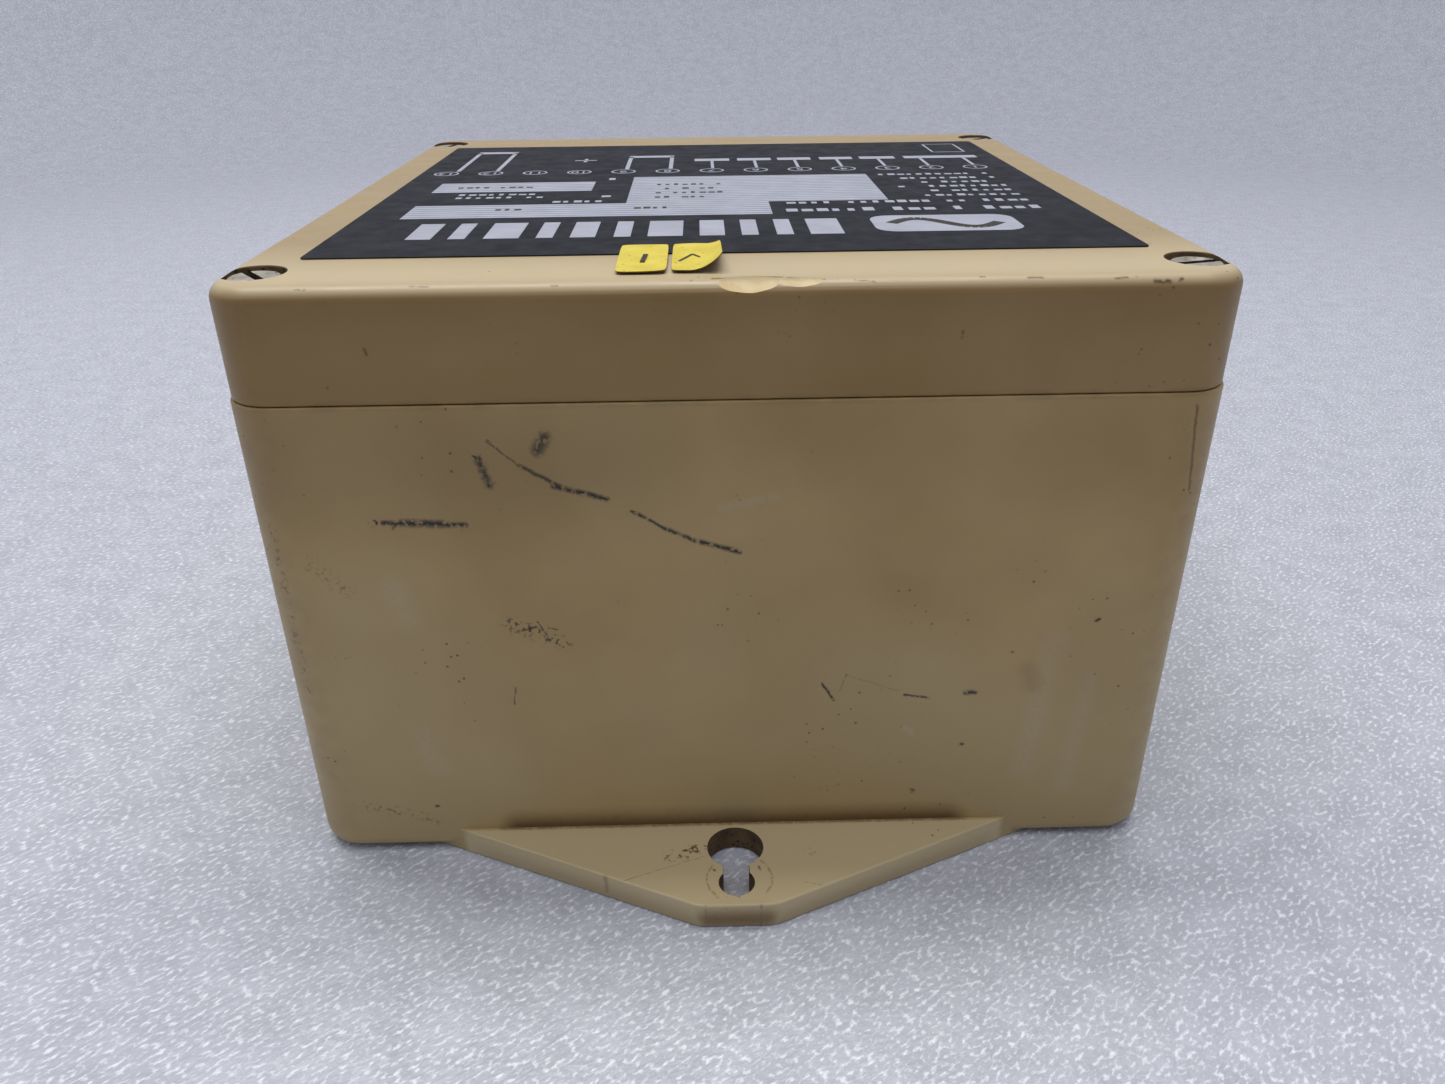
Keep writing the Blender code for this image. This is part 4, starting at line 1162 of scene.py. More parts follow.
@dataclass
class Studio:
    """The camera, the lights and the pale floor.

    Attributes:
        eye: Where the camera is.
        heading: Its turn from +Y about the upright, in degrees.
        tilt: How far it looks up from straight down, in degrees.
        roll: Its turn about its own axis, in degrees.
        lens: Focal length on a 36 mm wide sensor.
    """

    eye: Place = (-3.5, -198.8, 120.0)
    heading: float = -0.97
    tilt: float = 62.6
    roll: float = -0.65
    lens: float = 26.84

    def build(self) -> None:
        """Set up everything around the object."""
        self.place_camera()
        self.place_lights()
        self.lay_floor()
        view = bpy.context.scene.view_settings
        view.view_transform = "Standard"

    def place_camera(self) -> None:
        """Make the scene's camera."""
        data = bpy.data.cameras.new("camera")
        data.lens = self.lens
        data.sensor_width = 36
        data.clip_start = 0.01
        camera = bpy.data.objects.new("camera", data)
        turn = tilted(self.heading, "Z") @ tilted(self.tilt, "X") @ tilted(self.roll, "Z")
        camera.matrix_world = Matrix.Translation(Vector(self.eye) * MM) @ turn
        bpy.context.scene.collection.objects.link(camera)
        bpy.context.scene.camera = camera

    def place_lights(self) -> None:
        """Hang a broad soft panel overhead, a little behind the box, and fill the room faintly."""
        for name, at, size, power, spread, tint in (
            ("ceiling panel", (-0.08, 0.18, 1.0), (1.0, 0.28), 7.4, 175, "#fffdfa"),
            ("ceiling bounce", (0.0, -0.45, 1.5), (2.0, 0.8), 8.5, 180, "#fbfcff"),
        ):
            data = bpy.data.lights.new(name, "AREA")
            data.shape = "RECTANGLE"
            data.size, data.size_y = size
            data.energy = power
            data.spread = math.radians(spread)
            data.color = linear(tint)[:3]
            lamp = bpy.data.objects.new(name, data)
            lamp.location = at
            bpy.context.scene.collection.objects.link(lamp)
        world = bpy.data.worlds.new("room")
        world.use_nodes = True
        air = world.node_tree.nodes["Background"]
        air.inputs["Color"].default_value = linear("#e9edf5")
        air.inputs["Strength"].default_value = 0.06
        bpy.context.scene.world = world

    def lay_floor(self) -> None:
        """Lay a pale foam sheet that sweeps up into a wall on every side."""
        flat, bend, top = 700, 500, 2200
        profile = [(0, 0), (flat, 0)]
        profile += [
            (flat + bend * math.sin(math.radians(step)), bend - bend * math.cos(math.radians(step)))
            for step in range(6, 91, 6)
        ]
        profile.append((flat + bend, top))
        sheet = turned(profile, 96)
        sheet.transform(Matrix.Scale(MM, 4))
        bmesh.ops.reverse_faces(sheet, faces=sheet.faces)
        mesh = bpy.data.meshes.new("floor")
        sheet.to_mesh(mesh)
        sheet.free()
        mesh.shade_smooth()
        mesh.materials.append(FLOOR_FOAM.make())
        floor = bpy.data.objects.new("floor", mesh)
        floor.location.z = -0.0002
        bpy.context.scene.collection.objects.link(floor)


@dataclass
class Housing:
    """The deep base with its lugs, pillars, rim tongue, board posts and gland holes.

    Attributes:
        corner: Radius of the upright corners.
        back_edge: Radius round the back.
        floor: Thickness of the back wall.
        lug_thickness: Thickness of the two lugs.
        lug_reach: How far a lug stands out from its wall.
        lug_root: Half the lug's width at the wall.
        lug_tip: Half the lug's width at its tip.
        post: Where the board posts stand, each side of the middle.
        insert: Where the threaded inserts are, each side of the middle.
        gland: How far the gland holes are from the middle, and their height.
    """

    corner: float = 6.8
    back_edge: float = 2.6
    floor: float = 4.0
    lug_thickness: float = 4.0
    lug_reach: float = 17.0
    lug_root: float = 42.7
    lug_tip: float = 5.4
    post: Point = (52.5, 45.0)
    insert: Point = (60.0, 61.2)
    gland: Point = (28.0, 40.0)

    def build(self) -> None:
        """Build the housing as one piece."""
        size = (BOX_WIDTH, BOX_LENGTH, BASE_TOP)
        shell = slab(size, self.corner, 0.35, self.back_edge, 14)
        for side in (-1, 1):
            shell = carve(shell, self.lug(side), Carve.JOIN)
        tongue = moved(prism(rim_outline(3.0), 5.0, 0.3), (0, 0, 69.6))
        shell = carve(shell, tongue, Carve.JOIN)
        shell = carve(shell, moved(prism(rim_outline(1.5), 20), (0, 0, BASE_TOP)))
        shell = carve(shell, inner_space(self.floor, 90))
        shell = self.fit_out(shell)
        self.soften_hole(shell)
        for face in shell.faces:
            if face.material_index == 0 and face.calc_center_median().y < FRONT - 0.05:
                face.material_index = 2
        piece = Piece("housing_shell", BASE_MOULDING, GRIMY_MOULDING, LUG_MOULDING)
        piece.add(shell, None)
        piece.fit("base", "beige_moulding", "base_housing")

    def lug(self, side: int) -> Solid:
        """Return a lug; side is -1 at the keyhole end and 1 at the gland end."""
        face, buried = BOX_LENGTH / 2, 3.6
        root = self.lug_root + buried * (self.lug_root - self.lug_tip) / self.lug_reach
        far = face + self.lug_reach
        outline = [(-root, face - buried), (-self.lug_tip, far), (self.lug_tip, far)]
        outline.append((root, face - buried))
        lug = prism([(x, side * y) for x, y in outline], self.lug_thickness)
        tips = [
            edge for edge in lug.edges
            if abs(edge.verts[0].co.z - edge.verts[1].co.z) > 1
            and abs(edge.verts[0].co.y) > face + 1
        ]
        bevel(lug, tips, 1.2, 3)
        bevel(lug, level_edges(lug, self.lug_thickness), 0.35, 3)
        return lug

    def keyhole(self) -> list[Point]:
        """Return the keyhole: a large hole by the box, a neck and a round end near the tip."""
        hole, lobe = (0.0, -75.3), (0.0, -82.5)
        hole_cut = math.degrees(math.asin(1.9 / 4.2))
        lobe_cut = math.degrees(math.asin(1.9 / 2.6))
        outline = arc(hole, 4.2, -90 + hole_cut, 270 - hole_cut, 36)
        outline += arc(lobe, 2.6, 90 + lobe_cut, 262, 12)
        # A small nick where the cutter left the round end
        outline += [(0.3, -85.5)]
        outline += arc(lobe, 2.6, 278, 450 - lobe_cut, 12)
        return outline

    def fit_out(self, shell: Solid) -> Solid:
        """Cut the holes in the shell and add the board posts.

        Args:
            shell: The hollow shell with its lugs.

        Returns:
            The finished shell.
        """
        shell = carve(shell, moved(prism(self.keyhole(), 20), (0, 0, -10)), finish=1)
        slot = arc((0, 80.5), 2.5, 0, 180, 12) + arc((0, 76.5), 2.5, 180, 360, 12)
        shell = carve(shell, moved(prism(slot, 20), (0, 0, -10)), finish=1)
        for (_, post), (_, insert) in zip(corner_spots(self.post), corner_spots(self.insert)):
            shell = carve(shell, moved(rod(4, 12, 0.4), (*post, 2)), Carve.JOIN)
            shell = carve(shell, moved(rod(1.7, 20), (*post, 5)), finish=1)
            shell = carve(shell, moved(rod(3.3, 30), (*insert, BASE_TOP - 12)), finish=1)
        for side in (-1, 1):
            place = (side * self.gland[0], BOX_LENGTH / 2 + 10, self.gland[1])
            shell = carve(shell, moved(rod(7.9, 20), place, tilted(90, "X")), finish=0)
        return shell

    def soften_hole(self, shell: Solid) -> None:
        """Round the keyhole's upper edge a little, as moulding leaves it."""
        rim = [
            edge for edge in level_edges(shell, self.lug_thickness)
            if all(abs(end.co.x) < 4.3 and -86 < end.co.y < -71 for end in edge.verts)
        ]
        bevel(shell, rim, 0.18, 2)


@dataclass
class Cover:
    """The shallow cover with its stepped screw holes, gasket groove and broken front edge.

    Attributes:
        inset: How far it stands in from the base on each side.
        edge: Radius of its upper rim.
        roof: Thickness over the inner space.
        screw: Where the screws are, each side of the middle.
        seat: Height of the floor of the screw recesses.
    """

    inset: float = 0.25
    edge: float = 2.2
    roof: float = 3.5
    screw: Point = (60.0, 61.2)
    seat: float = 84.7

    def build(self) -> None:
        """Build the cover and its gasket."""
        width, length = BOX_WIDTH - 2 * self.inset, BOX_LENGTH - 2 * self.inset
        size = (width, length, BOX_TOP - COVER_BOTTOM)
        shell = moved(slab(size, 6.55, self.edge, 0.3, 14), (0, 0, COVER_BOTTOM))
        shell = carve(shell, inner_space(60, BOX_TOP - self.roof))
        shell = carve(shell, moved(rim_ring(3.5, 1.0, 20), (0, 0, 56.6)))
        for _, spot in corner_spots(self.screw):
            shell = self.drill(shell, spot)
        shell = carve(shell, self.chip(), finish=2)
        piece = Piece("cover_shell", COVER_MOULDING, GRIMY_MOULDING, BROKEN_MOULDING)
        piece.add(shell, None)
        piece.fit("cover", "beige_moulding", "cover")
        gasket = Piece("gasket_cord", BLACK_RUBBER)
        cord = rim_ring(3.2, 1.3, 1.4)
        bevel(cord, level_edges(cord, 0) + level_edges(cord, 1.4), 0.4, 3)
        gasket.add(cord, 0, (0, 0, 74.9))
        gasket.fit("cover", "black_rubber", "cover_gasket")

    def drill(self, shell: Solid, spot: Point) -> Solid:
        """Cut one stepped screw hole with a softened mouth.

        Args:
            shell: The cover so far.
            spot: The hole's centre.

        Returns:
            The cover with the hole.
        """
        top = BOX_TOP
        profile = [
            (0, 60), (3.75, 60), (3.75, 82.1), (2.3, 82.1), (2.3, self.seat), (4, self.seat),
            (4, top - 0.12), (4.12, top), (4.12, top + 9), (0, top + 9),
        ]
        return carve(shell, moved(turned(profile, 48), (*spot, 0)), finish=1)

    def chip(self) -> Solid:
        """Return the shell-shaped flake that is broken out of the front upper edge."""
        tool = bmesh.new()
        for centre, size in (
            ((2.2, -70.0, 89.0), (4.9, 3.3, 2.2)),
            ((8.4, -69.7, 88.6), (4.2, 2.0, 1.25)),
        ):
            lump = bmesh.new()
            bmesh.ops.create_icosphere(lump, subdivisions=4, radius=1)
            for point in lump.verts:
                # Ripples run across the break, as they do in a brittle plastic
                ripple = 1 + 0.012 * math.sin(9 * point.co.x + 4 * point.co.y)
                point.co *= ripple + 0.006 * math.sin(17 * point.co.z + 5 * point.co.x)
            lump.transform(Matrix.Translation(centre) @ Matrix.Diagonal((*size, 1)))
            if tool.faces:
                tool = carve(tool, lump, Carve.JOIN)
            else:
                tool.free()
                tool = lump
        return tool


@dataclass
class RatingLabel:
    """The charcoal foil label with its bars, ruled fields and terminal diagram.

    Attributes:
        size: Its width and length.
        centre: Its centre along Y.
        bottom: Height of its underside.
        thickness: Thickness of the foil.
        ink: How far the bare print stands up.
    """

    size: Point = (113.0, 107.6)
    centre: float = -0.6
    bottom: float = 88.22
    thickness: float = 0.18
    ink: float = 0.02

    def build(self) -> None:
        """Build the foil and everything printed on it."""
        film = Piece("label_film", LABEL_FOIL)
        film.add(slab((*self.size, self.thickness), 0.8, 0.05, steps=4), 0,
                 (0, self.centre, self.bottom))
        film.fit("cover", "label_foil", "rating_label")
        self.draw = Piece("label_print", BARE_FOIL, RULED_FOIL, STAMP_INK)
        self.band()
        self.emblem()
        self.fields()
        self.word_rows()
        self.diagram()
        self.draw.fit("cover", "label_foil")

    def plate(self, outline: Sequence[Point], finish: int = 0, lift: float = 0.0) -> None:
        """Print one flat shape; lift puts it over another."""
        height = self.bottom + self.thickness + lift
        self.draw.add(prism(outline, self.ink), finish, (0, 0, height))

    def line(
        self, start: Point, end: Point, width: float, finish: int = 0, lift: float = 0.0
    ) -> None:
        """Print a straight stroke with square ends.

        Args:
            start: Its first point.
            end: Its last point.
            width: Its width.
            finish: Its finish's number.
            lift: How far it stands over the foil.
        """
        way = Vector((end[0] - start[0], end[1] - start[1])).normalized() * width / 2
        side = (-way.y, way.x)
        self.plate(
            [
                (start[0] + side[0], start[1] + side[1]), (start[0] - side[0], start[1] - side[1]),
                (end[0] - side[0], end[1] - side[1]), (end[0] + side[0], end[1] + side[1]),
            ],
            finish,
            lift,
        )

    def band(self) -> None:
        """Print a row of plain upright bars where a title would stand."""
        x = -45.2
        for width, gap in (
            (3.6, 2.4), (2.4, 2.6), (5.0, 2.4), (2.4, 2.4), (3.6, 2.6), (2.4, 2.4), (5.0, 2.4),
            (3.6, 2.4), (2.4, 2.6), (2.4, 2.4), (4.8, 2.4),
        ):
            self.plate(rectangle((x, -43.6), (x + width, -32.6)))
            x += width + gap

    def emblem(self) -> None:
        """Print a plain panel with the sign for alternating current."""
        low, high = (21.9, -42.8), (43.4, -31.0)
        corners = [
            *arc((low[0] + 3, low[1] + 3), 3, 180, 270, 5),
            *arc((high[0] - 3, low[1] + 3), 3, 270, 360, 5),
            *arc((high[0] - 3, high[1] - 3), 3, 0, 90, 5),
            *arc((low[0] + 3, high[1] - 3), 3, 90, 180, 5),
        ]
        self.plate(corners)
        points = [
            (24.65 + step * 0.8, -36.9 + 3.2 * math.sin(step * math.pi / 10)) for step in range(21)
        ]
        for start, end in zip(points, points[1:]):
            self.line(start, end, 1.9, 2, self.ink)

    def fields(self) -> None:
        """Print the bare fields that a typist fills in, with faint typed marks."""
        for low, high in (
            ((-49.6, -28.3), (7.7, -17.5)),
            ((-15.5, -17.5), (27.3, 9.2)),
            ((-49.8, -4.9), (-22.2, 4.6)),
        ):
            self.plate(rectangle(low, high), 1)
        chance = random.Random(5)
        for x, y, count in ((-14, -22.5, 5), (-11, -12.8, 6), (-11, -8.6, 8), (-11, -4.4, 7),
                            (-11, -0.2, 8), (-46, -1.0, 9), (-36, -22.5, 3)):
            self.marks((x, y), count, 1.5, 1.5, chance, 2, self.ink)

    def marks(
        self, start: Point, count: int, pitch: float, height: float,
        chance: random.Random, finish: int = 0, lift: float = 0.0,
    ) -> None:
        """Print a run of small blocks, as lines of fine print look from afar.

        Args:
            start: The lower left corner of the run.
            count: How many blocks it has.
            pitch: Distance between blocks.
            height: Height of the tallest.
            chance: Where the choice of widths and heights comes from.
            finish: The print's finish.
            lift: How far it stands over the foil.
        """
        for index in range(count):
            if chance.random() < 0.14:
                continue
            left = start[0] + index * pitch
            right = left + pitch * chance.choice((0.45, 0.6, 0.75))
            tall = start[1] + height * chance.choice((0.7, 0.85, 1.0))
            self.plate(rectangle((left, start[1]), (right, tall)), finish, lift)

    def word_rows(self) -> None:
        """Print the rows of fine print."""
        chance = random.Random(11)
        for x, y, count, pitch, height in (
            (10.0, -26.6, 17, 2.4, 3.4),
            (10.5, -20.0, 20, 2.0, 2.7),
            (34.0, -14.6, 9, 1.8, 2.2),
            (34.0, -10.2, 9, 1.8, 2.2),
            (31.0, -5.8, 11, 1.8, 2.2),
            (34.0, -1.4, 9, 1.8, 2.2),
            (31.0, 3.0, 11, 1.8, 2.2),
            (29.5, 7.6, 12, 1.75, 2.1),
            (-27.7, -16.0, 5, 1.75, 2.2),
            (-44.5, -11.2, 9, 1.7, 1.9),
            (-44.5, -8.3, 8, 1.7, 1.9),
            (-20.0, -11.4, 1, 2.6, 2.6),
            (-20.0, 6.4, 1, 2.6, 2.6),
        ):
            self.marks((x, y), count, pitch, height * 0.8, chance)

    def diagram(self) -> None:
        """Print the thirteen numbered terminals and the circuit above them."""
        height = self.bottom + self.thickness
        for index in range(13):
            x = -51.5 + 8.4 * index
            ring = [(2.35, 0), (2.35, self.ink), (2.0, self.ink), (2.0, 0)]
            self.draw.add(turned(ring, 20, True), 0, (x, 16.2, height))
            number = figures(str(13 - index), 2.3, self.ink)
            self.draw.add(number, 0, (x, 16.2, height + self.ink / 2), tilted(180, "Z"))
        for left, right in (
            (-4.4, 2.6), (4.2, 11), (12.3, 19), (20.8, 27.4), (28.9, 36), (37.9, 52.6),
        ):
            self.line((left, 30), (right, 30), 3.2)
            stems = (left + 3, right - 3) if right - left > 10 else ((left + right) / 2,)
            for x in stems:
                self.line((x, 19), (x, 28.6), 0.6)
        for left, right, top in ((-49.8, -42.3, 44), (-17.4, -9, 35.5)):
            for x in (left, right):
                self.line((x, 19), (x, top), 0.8)
            self.line((left - 0.4, top), (right + 0.4, top), 2.6)
        self.line((-28.6, 31.4), (-24.2, 31.4), 0.7)
        self.line((-26.4, 29.2), (-26.4, 33.6), 0.7)
        for low, high in (((45.0, 36.5), (52.0, 36.9)), ((45.0, 48.6), (52.0, 49.0)),
                          ((45.0, 36.5), (45.4, 49.0)), ((51.6, 36.5), (52.0, 49.0))):
            self.plate(rectangle(low, high))


@dataclass
class NumberStickers:
    """Two small yellow stickers over the label's front edge; the right one curls up.

    Attributes:
        size: Their width and length.
        thickness: Thickness of the paper.
        bottom: Height of their undersides.
        curl: How high the free corner lifts.
    """

    size: Point = (6.4, 15.4)
    thickness: float = 0.14
    bottom: float = 88.5
    curl: float = 2.0

    def build(self) -> None:
        """Build both stickers with their marks."""
        flat = Piece("sticker_flat", YELLOW_PAPER, PAPER_BACK_PAINTED_SHADE, STAMP_INK)
        flat.add(self.paper(0.12), None, (-11, -57.8, self.bottom))
        top = self.bottom + self.thickness + 0.13
        flat.add(figures("1", 4.6, 0.02), 2, (-10.8, -58.4, top), tilted(176, "Z"))
        flat.fit("cover", "yellow_paper", "number_sticker_left")
        curled = Piece("sticker_curled", YELLOW_PAPER, PAPER_BACK_PAINTED_SHADE, STAMP_INK)
        curled.add(self.paper(self.curl), None, (-4, -57.5, self.bottom))
        for start, end in (((-6.3, -60.4), (-4.6, -56.4)), ((-4.6, -56.4), (-3.4, -58.6))):
            way = Vector((end[0] - start[0], end[1] - start[1]))
            stroke = cuboid((way.length, 0.4, 0.02))
            middle = ((start[0] + end[0]) / 2, (start[1] + end[1]) / 2, self.bottom + 0.17)
            turn = Matrix.Rotation(math.atan2(way.y, way.x), 4, "Z")
            curled.add(stroke, 2, middle, turn)
        curled.fit("cover", "yellow_paper", "number_sticker_right")

    def paper(self, lift: float) -> Solid:
        """Return a piece of paper whose right side lifts, most at the front corner.

        Args:
            lift: How high the free corner stands.

        Returns:
            The paper, its upper side in the first finish and its back in the second.
        """
        sheet = bmesh.new()
        bmesh.ops.create_grid(sheet, x_segments=20, y_segments=20, size=0.5)
        for point in sheet.verts:
            x, y = point.co.x, point.co.y
            lifted = max(0.0, x - 0.35 * y) / 0.675
            wave = 0.02 * math.sin(9 * x + 4 * y)
            # Worn corners are a little round
            pull = 1 - 0.05 * (abs(2 * x) ** 6) * (abs(2 * y) ** 6)
            point.co.x = x * self.size[0] * pull
            point.co.y = y * self.size[1] * pull
            point.co.z = lift * lifted**2 + wave * min(1.0, lift)
        upper = bmesh.ops.extrude_face_region(sheet, geom=list(sheet.faces))["geom"]
        for part in upper:
            if isinstance(part, bmesh.types.BMVert):
                part.co.z += self.thickness
        bmesh.ops.recalc_face_normals(sheet, faces=sheet.faces)
        for face in sheet.faces:
            face.material_index = 0 if face.normal.z > 0 else 1
        return sheet


def slotted_head(radius: float, height: float, slot: Point, angle: float) -> Solid:
    """Return a cheese head with turning marks, a rounded rim and a slot.

    Args:
        radius: The head's radius.
        height: Its height.
        slot: Width and depth of the slot.
        angle: Where the slot points, in degrees from +X.

    Returns:
        The head, standing on the XY plane.
    """
    profile = [(0, 0), (radius - 0.1, 0), (radius, 0.12), (radius, height * 0.8)]
    profile += [(radius - height * 0.05, height * 0.92), (radius - height * 0.15, height)]
    grooves = 5
    for index in range(grooves):
        middle = (radius - height * 0.25) * (1 - index / grooves)
        profile += [(middle, height), (middle - 0.08, height - 0.03), (middle - 0.16, height)]
    profile.append((0, height))
    head = turned(profile, 56)
    cutter = moved(cuboid((radius * 3, slot[0], 2 * slot[1])), (0, 0, height), tilted(angle, "Z"))
    return carve(head, cutter, finish=1)


def threaded(radius: float, length: float, pitch: float, plain: float, steps: int = 32) -> Solid:
    """Return a screw's shank that hangs down from the XY plane.

    Args:
        radius: Its outer radius.
        length: Its length.
        pitch: Distance between threads.
        plain: Length without thread below the head.
        steps: How many faces go round.

    Returns:
        The shank.
    """
    core = radius - 0.55 * pitch
    profile = [(0, 0), (radius, 0), (radius, -plain)]
    depth = plain
    while depth + pitch < length - 0.8:
        profile += [(core, -depth - pitch * 0.4), (core, -depth - pitch * 0.6)]
        depth += pitch
        profile.append((radius, -depth))
        profile.append((radius, -depth - 0.05))
    profile += [(core, -length + 0.5), (core * 0.7, -length), (0, -length)]
    return turned(profile, steps)


@dataclass
class CoverFixings:
    """The four slotted cover screws, their captive washers and the threaded inserts.

    Attributes:
        spot: Where they are, each side of the middle.
        seat: Height of the underside of the heads.
        head: Radius and height of a head.
        shank: Radius and length of a shank.
    """

    spot: Point = (60.0, 61.2)
    seat: float = 85.0
    head: Point = (3.5, 2.75)
    shank: Point = (1.95, 18.6)

    def build(self) -> None:
        """Build all four sets."""
        angles = {"front_left": 128, "front_right": 15, "rear_left": 75, "rear_right": 40}
        for corner, spot in corner_spots(self.spot):
            screw = Piece(f"screw_{corner}", ZINC_STEEL, GRIMY_STEEL)
            head = slotted_head(*self.head, (1.1, 1.2), angles[corner])
            screw.add(head, None, (*spot, self.seat))
            screw.add(threaded(*self.shank, 0.7, 4.0), 0, (*spot, self.seat))
            screw.fit(f"screw_{corner}", "zinc_steel", f"cover_screw_{corner}")
            washer = Piece(f"washer_{corner}", WHITE_NYLON)
            profile = [(3.45, 0.85), (3.3, 1), (2.4, 1), (2.25, 0.85), (2.25, 0.15), (2.4, 0),
                       (3.3, 0), (3.45, 0.15)]
            washer.add(turned(profile, 40, True), 0, (*spot, 73.8))
            washer.fit(f"washer_{corner}", "white_nylon", f"captive_washer_{corner}")
            insert = Piece(f"insert_{corner}", BRASS)
            insert.add(self.insert(), 0, (*spot, 64.9))
            insert.fit("base", "brass", f"thread_insert_{corner}")

    def insert(self) -> Solid:
        """Return a brass insert with a knurled band and a chamfered mouth."""
        profile = [(2.25, 0), (3.0, 0), (3.0, 1.2), (2.8, 1.3), (2.8, 1.9), (3.0, 2.0),
                   (3.0, 6.6), (2.85, 6.8), (2.85, 8.0), (2.55, 8.0), (2.25, 7.7)]
        sleeve = turned(profile, 60, True)
        for point in sleeve.verts:
            if 2.0 <= point.co.z <= 6.6 and point.co.xy.length > 2.9:
                ridge = round(math.degrees(math.atan2(point.co.y, point.co.x)) / 6) % 2
                point.co.xy *= 0.955 if ridge else 1.0
        return sleeve


@dataclass
class CableGland:
    """One cable gland in the lower wall: body, rubber seal, clamping nut and locknut.

    Attributes:
        name: Which gland it is.
        x: How far it is from the middle.
        z: Its height.
        thread: Radius of its thread.
        bore: Radius of its bore.
    """

    name: str
    x: float
    z: float = 40.0
    thread: float = 7.6
    bore: float = 4.2

    def build(self) -> None:
        """Build the gland's four pieces; each is made upright and then laid along +Y."""
        self.fit(
            self.body(), "gland_stem", 70.3, "base", "grey_moulding", "gland_body", GREY_POLYAMIDE
        )
        self.fit(
            self.seal(), "gland_grommet", 76.6, "base", "black_rubber", "gland_seal", BLACK_RUBBER
        )
        self.fit(
            self.nut(), "gland_cap", 74.6, f"gland_nut_{self.name}", "grey_moulding", "gland_nut",
            GREY_POLYAMIDE,
        )
        self.fit(
            self.locknut(), "gland_backnut", 61.2, "base", "grey_moulding", "gland_locknut",
            GREY_POLYAMIDE,
        )

    def fit(
        self, solid: Solid, title: str, y: float, body: str, slot: str, node: str, finish: Finish
    ) -> None:
        """Lay one part of the gland along +Y and fix it.

        Args:
            solid: The part, upright on the XY plane.
            title: The start of the piece's name.
            y: Where its foot goes.
            body: The body it rides on.
            slot: The record's material slot.
            node: The start of the name of the node it stands for.
            finish: Its finish.
        """
        piece = Piece(f"{title}_{self.name}", finish)
        piece.add(solid, 0, (self.x, y, self.z), tilted(-90, "X"))
        piece.fit(body, slot, f"{node}_{self.name}")

    def body(self) -> Solid:
        """Return the body: threaded stem, hexagon flange and collar, bored through."""
        flange = prism(hexagon(20), 4, 0.5, 0.3)
        profile = [(0, -12.5), (6.9, -12.5), (7.2, -12.0)]
        level = -12.0
        while level < -1.2:
            profile += [(7.0, level + 0.3), (self.thread, level + 0.7), (self.thread, level + 0.8)]
            level += 1.4
            profile.append((7.0, level - 0.2))
        profile += [(self.thread, -0.3), (self.thread, 0.5), (0, 0.5)]
        body = carve(flange, turned(profile, 48), Carve.JOIN)
        collar = [(0, 3.5), (6.6, 3.5), (6.6, 5.0)]
        for index in range(5):
            level = 5.0 + index * 1.4
            collar += [(7.0, level + 0.4), (7.0, level + 0.8), (6.5, level + 1.2)]
        collar += [(6.5, 12.6), (6.2, 13.0), (0, 13.0)]
        body = carve(body, turned(collar, 48), Carve.JOIN)
        hole = [(0, -20), (self.bore, -20), (self.bore, 6), (5.6, 6), (5.6, 12.6), (5.9, 13),
                (5.9, 20), (0, 20)]
        return carve(body, turned(hole, 48))

    def seal(self) -> Solid:
        """Return the ribbed rubber seal."""
        profile = [(5.3, 6.6), (5.0, 7.0), (3.9, 7.0), (3.5, 6.6)]
        for index in range(3):
            level = 5.4 - index * 1.8
            profile += [(3.5, level), (3.75, level - 0.5), (3.5, level - 1.0)]
        profile += [(3.5, 0.3), (3.8, 0), (5.0, 0), (5.3, 0.3)]
        return turned(profile, 40, True)

    def nut(self) -> Solid:
        """Return the clamping nut: a hexagon below a ribbed dome."""
        nut = prism(hexagon(19), 7.8, 0.6, 0.5)
        dome = [(0, 4), (9.2, 4), (9.2, 8.4), (9.0, 9.6), (8.2, 11.05), (7.4, 11.9), (6.2, 13),
                (0, 13)]
        nut = carve(nut, turned(dome, 60), Carve.JOIN)
        hole = [(0, -20), (7.3, -20), (7.3, 9.3), (5.2, 9.3), (5.2, 12.6), (5.6, 13), (5.6, 30),
                (0, 30)]
        return carve(nut, turned(hole, 48))

    def locknut(self) -> Solid:
        """Return the flat locknut inside the wall."""
        nut = prism(hexagon(20), 4, 0.5, 0.5)
        return carve(nut, moved(rod(7.9, 20, steps=48), (0, 0, -5)))


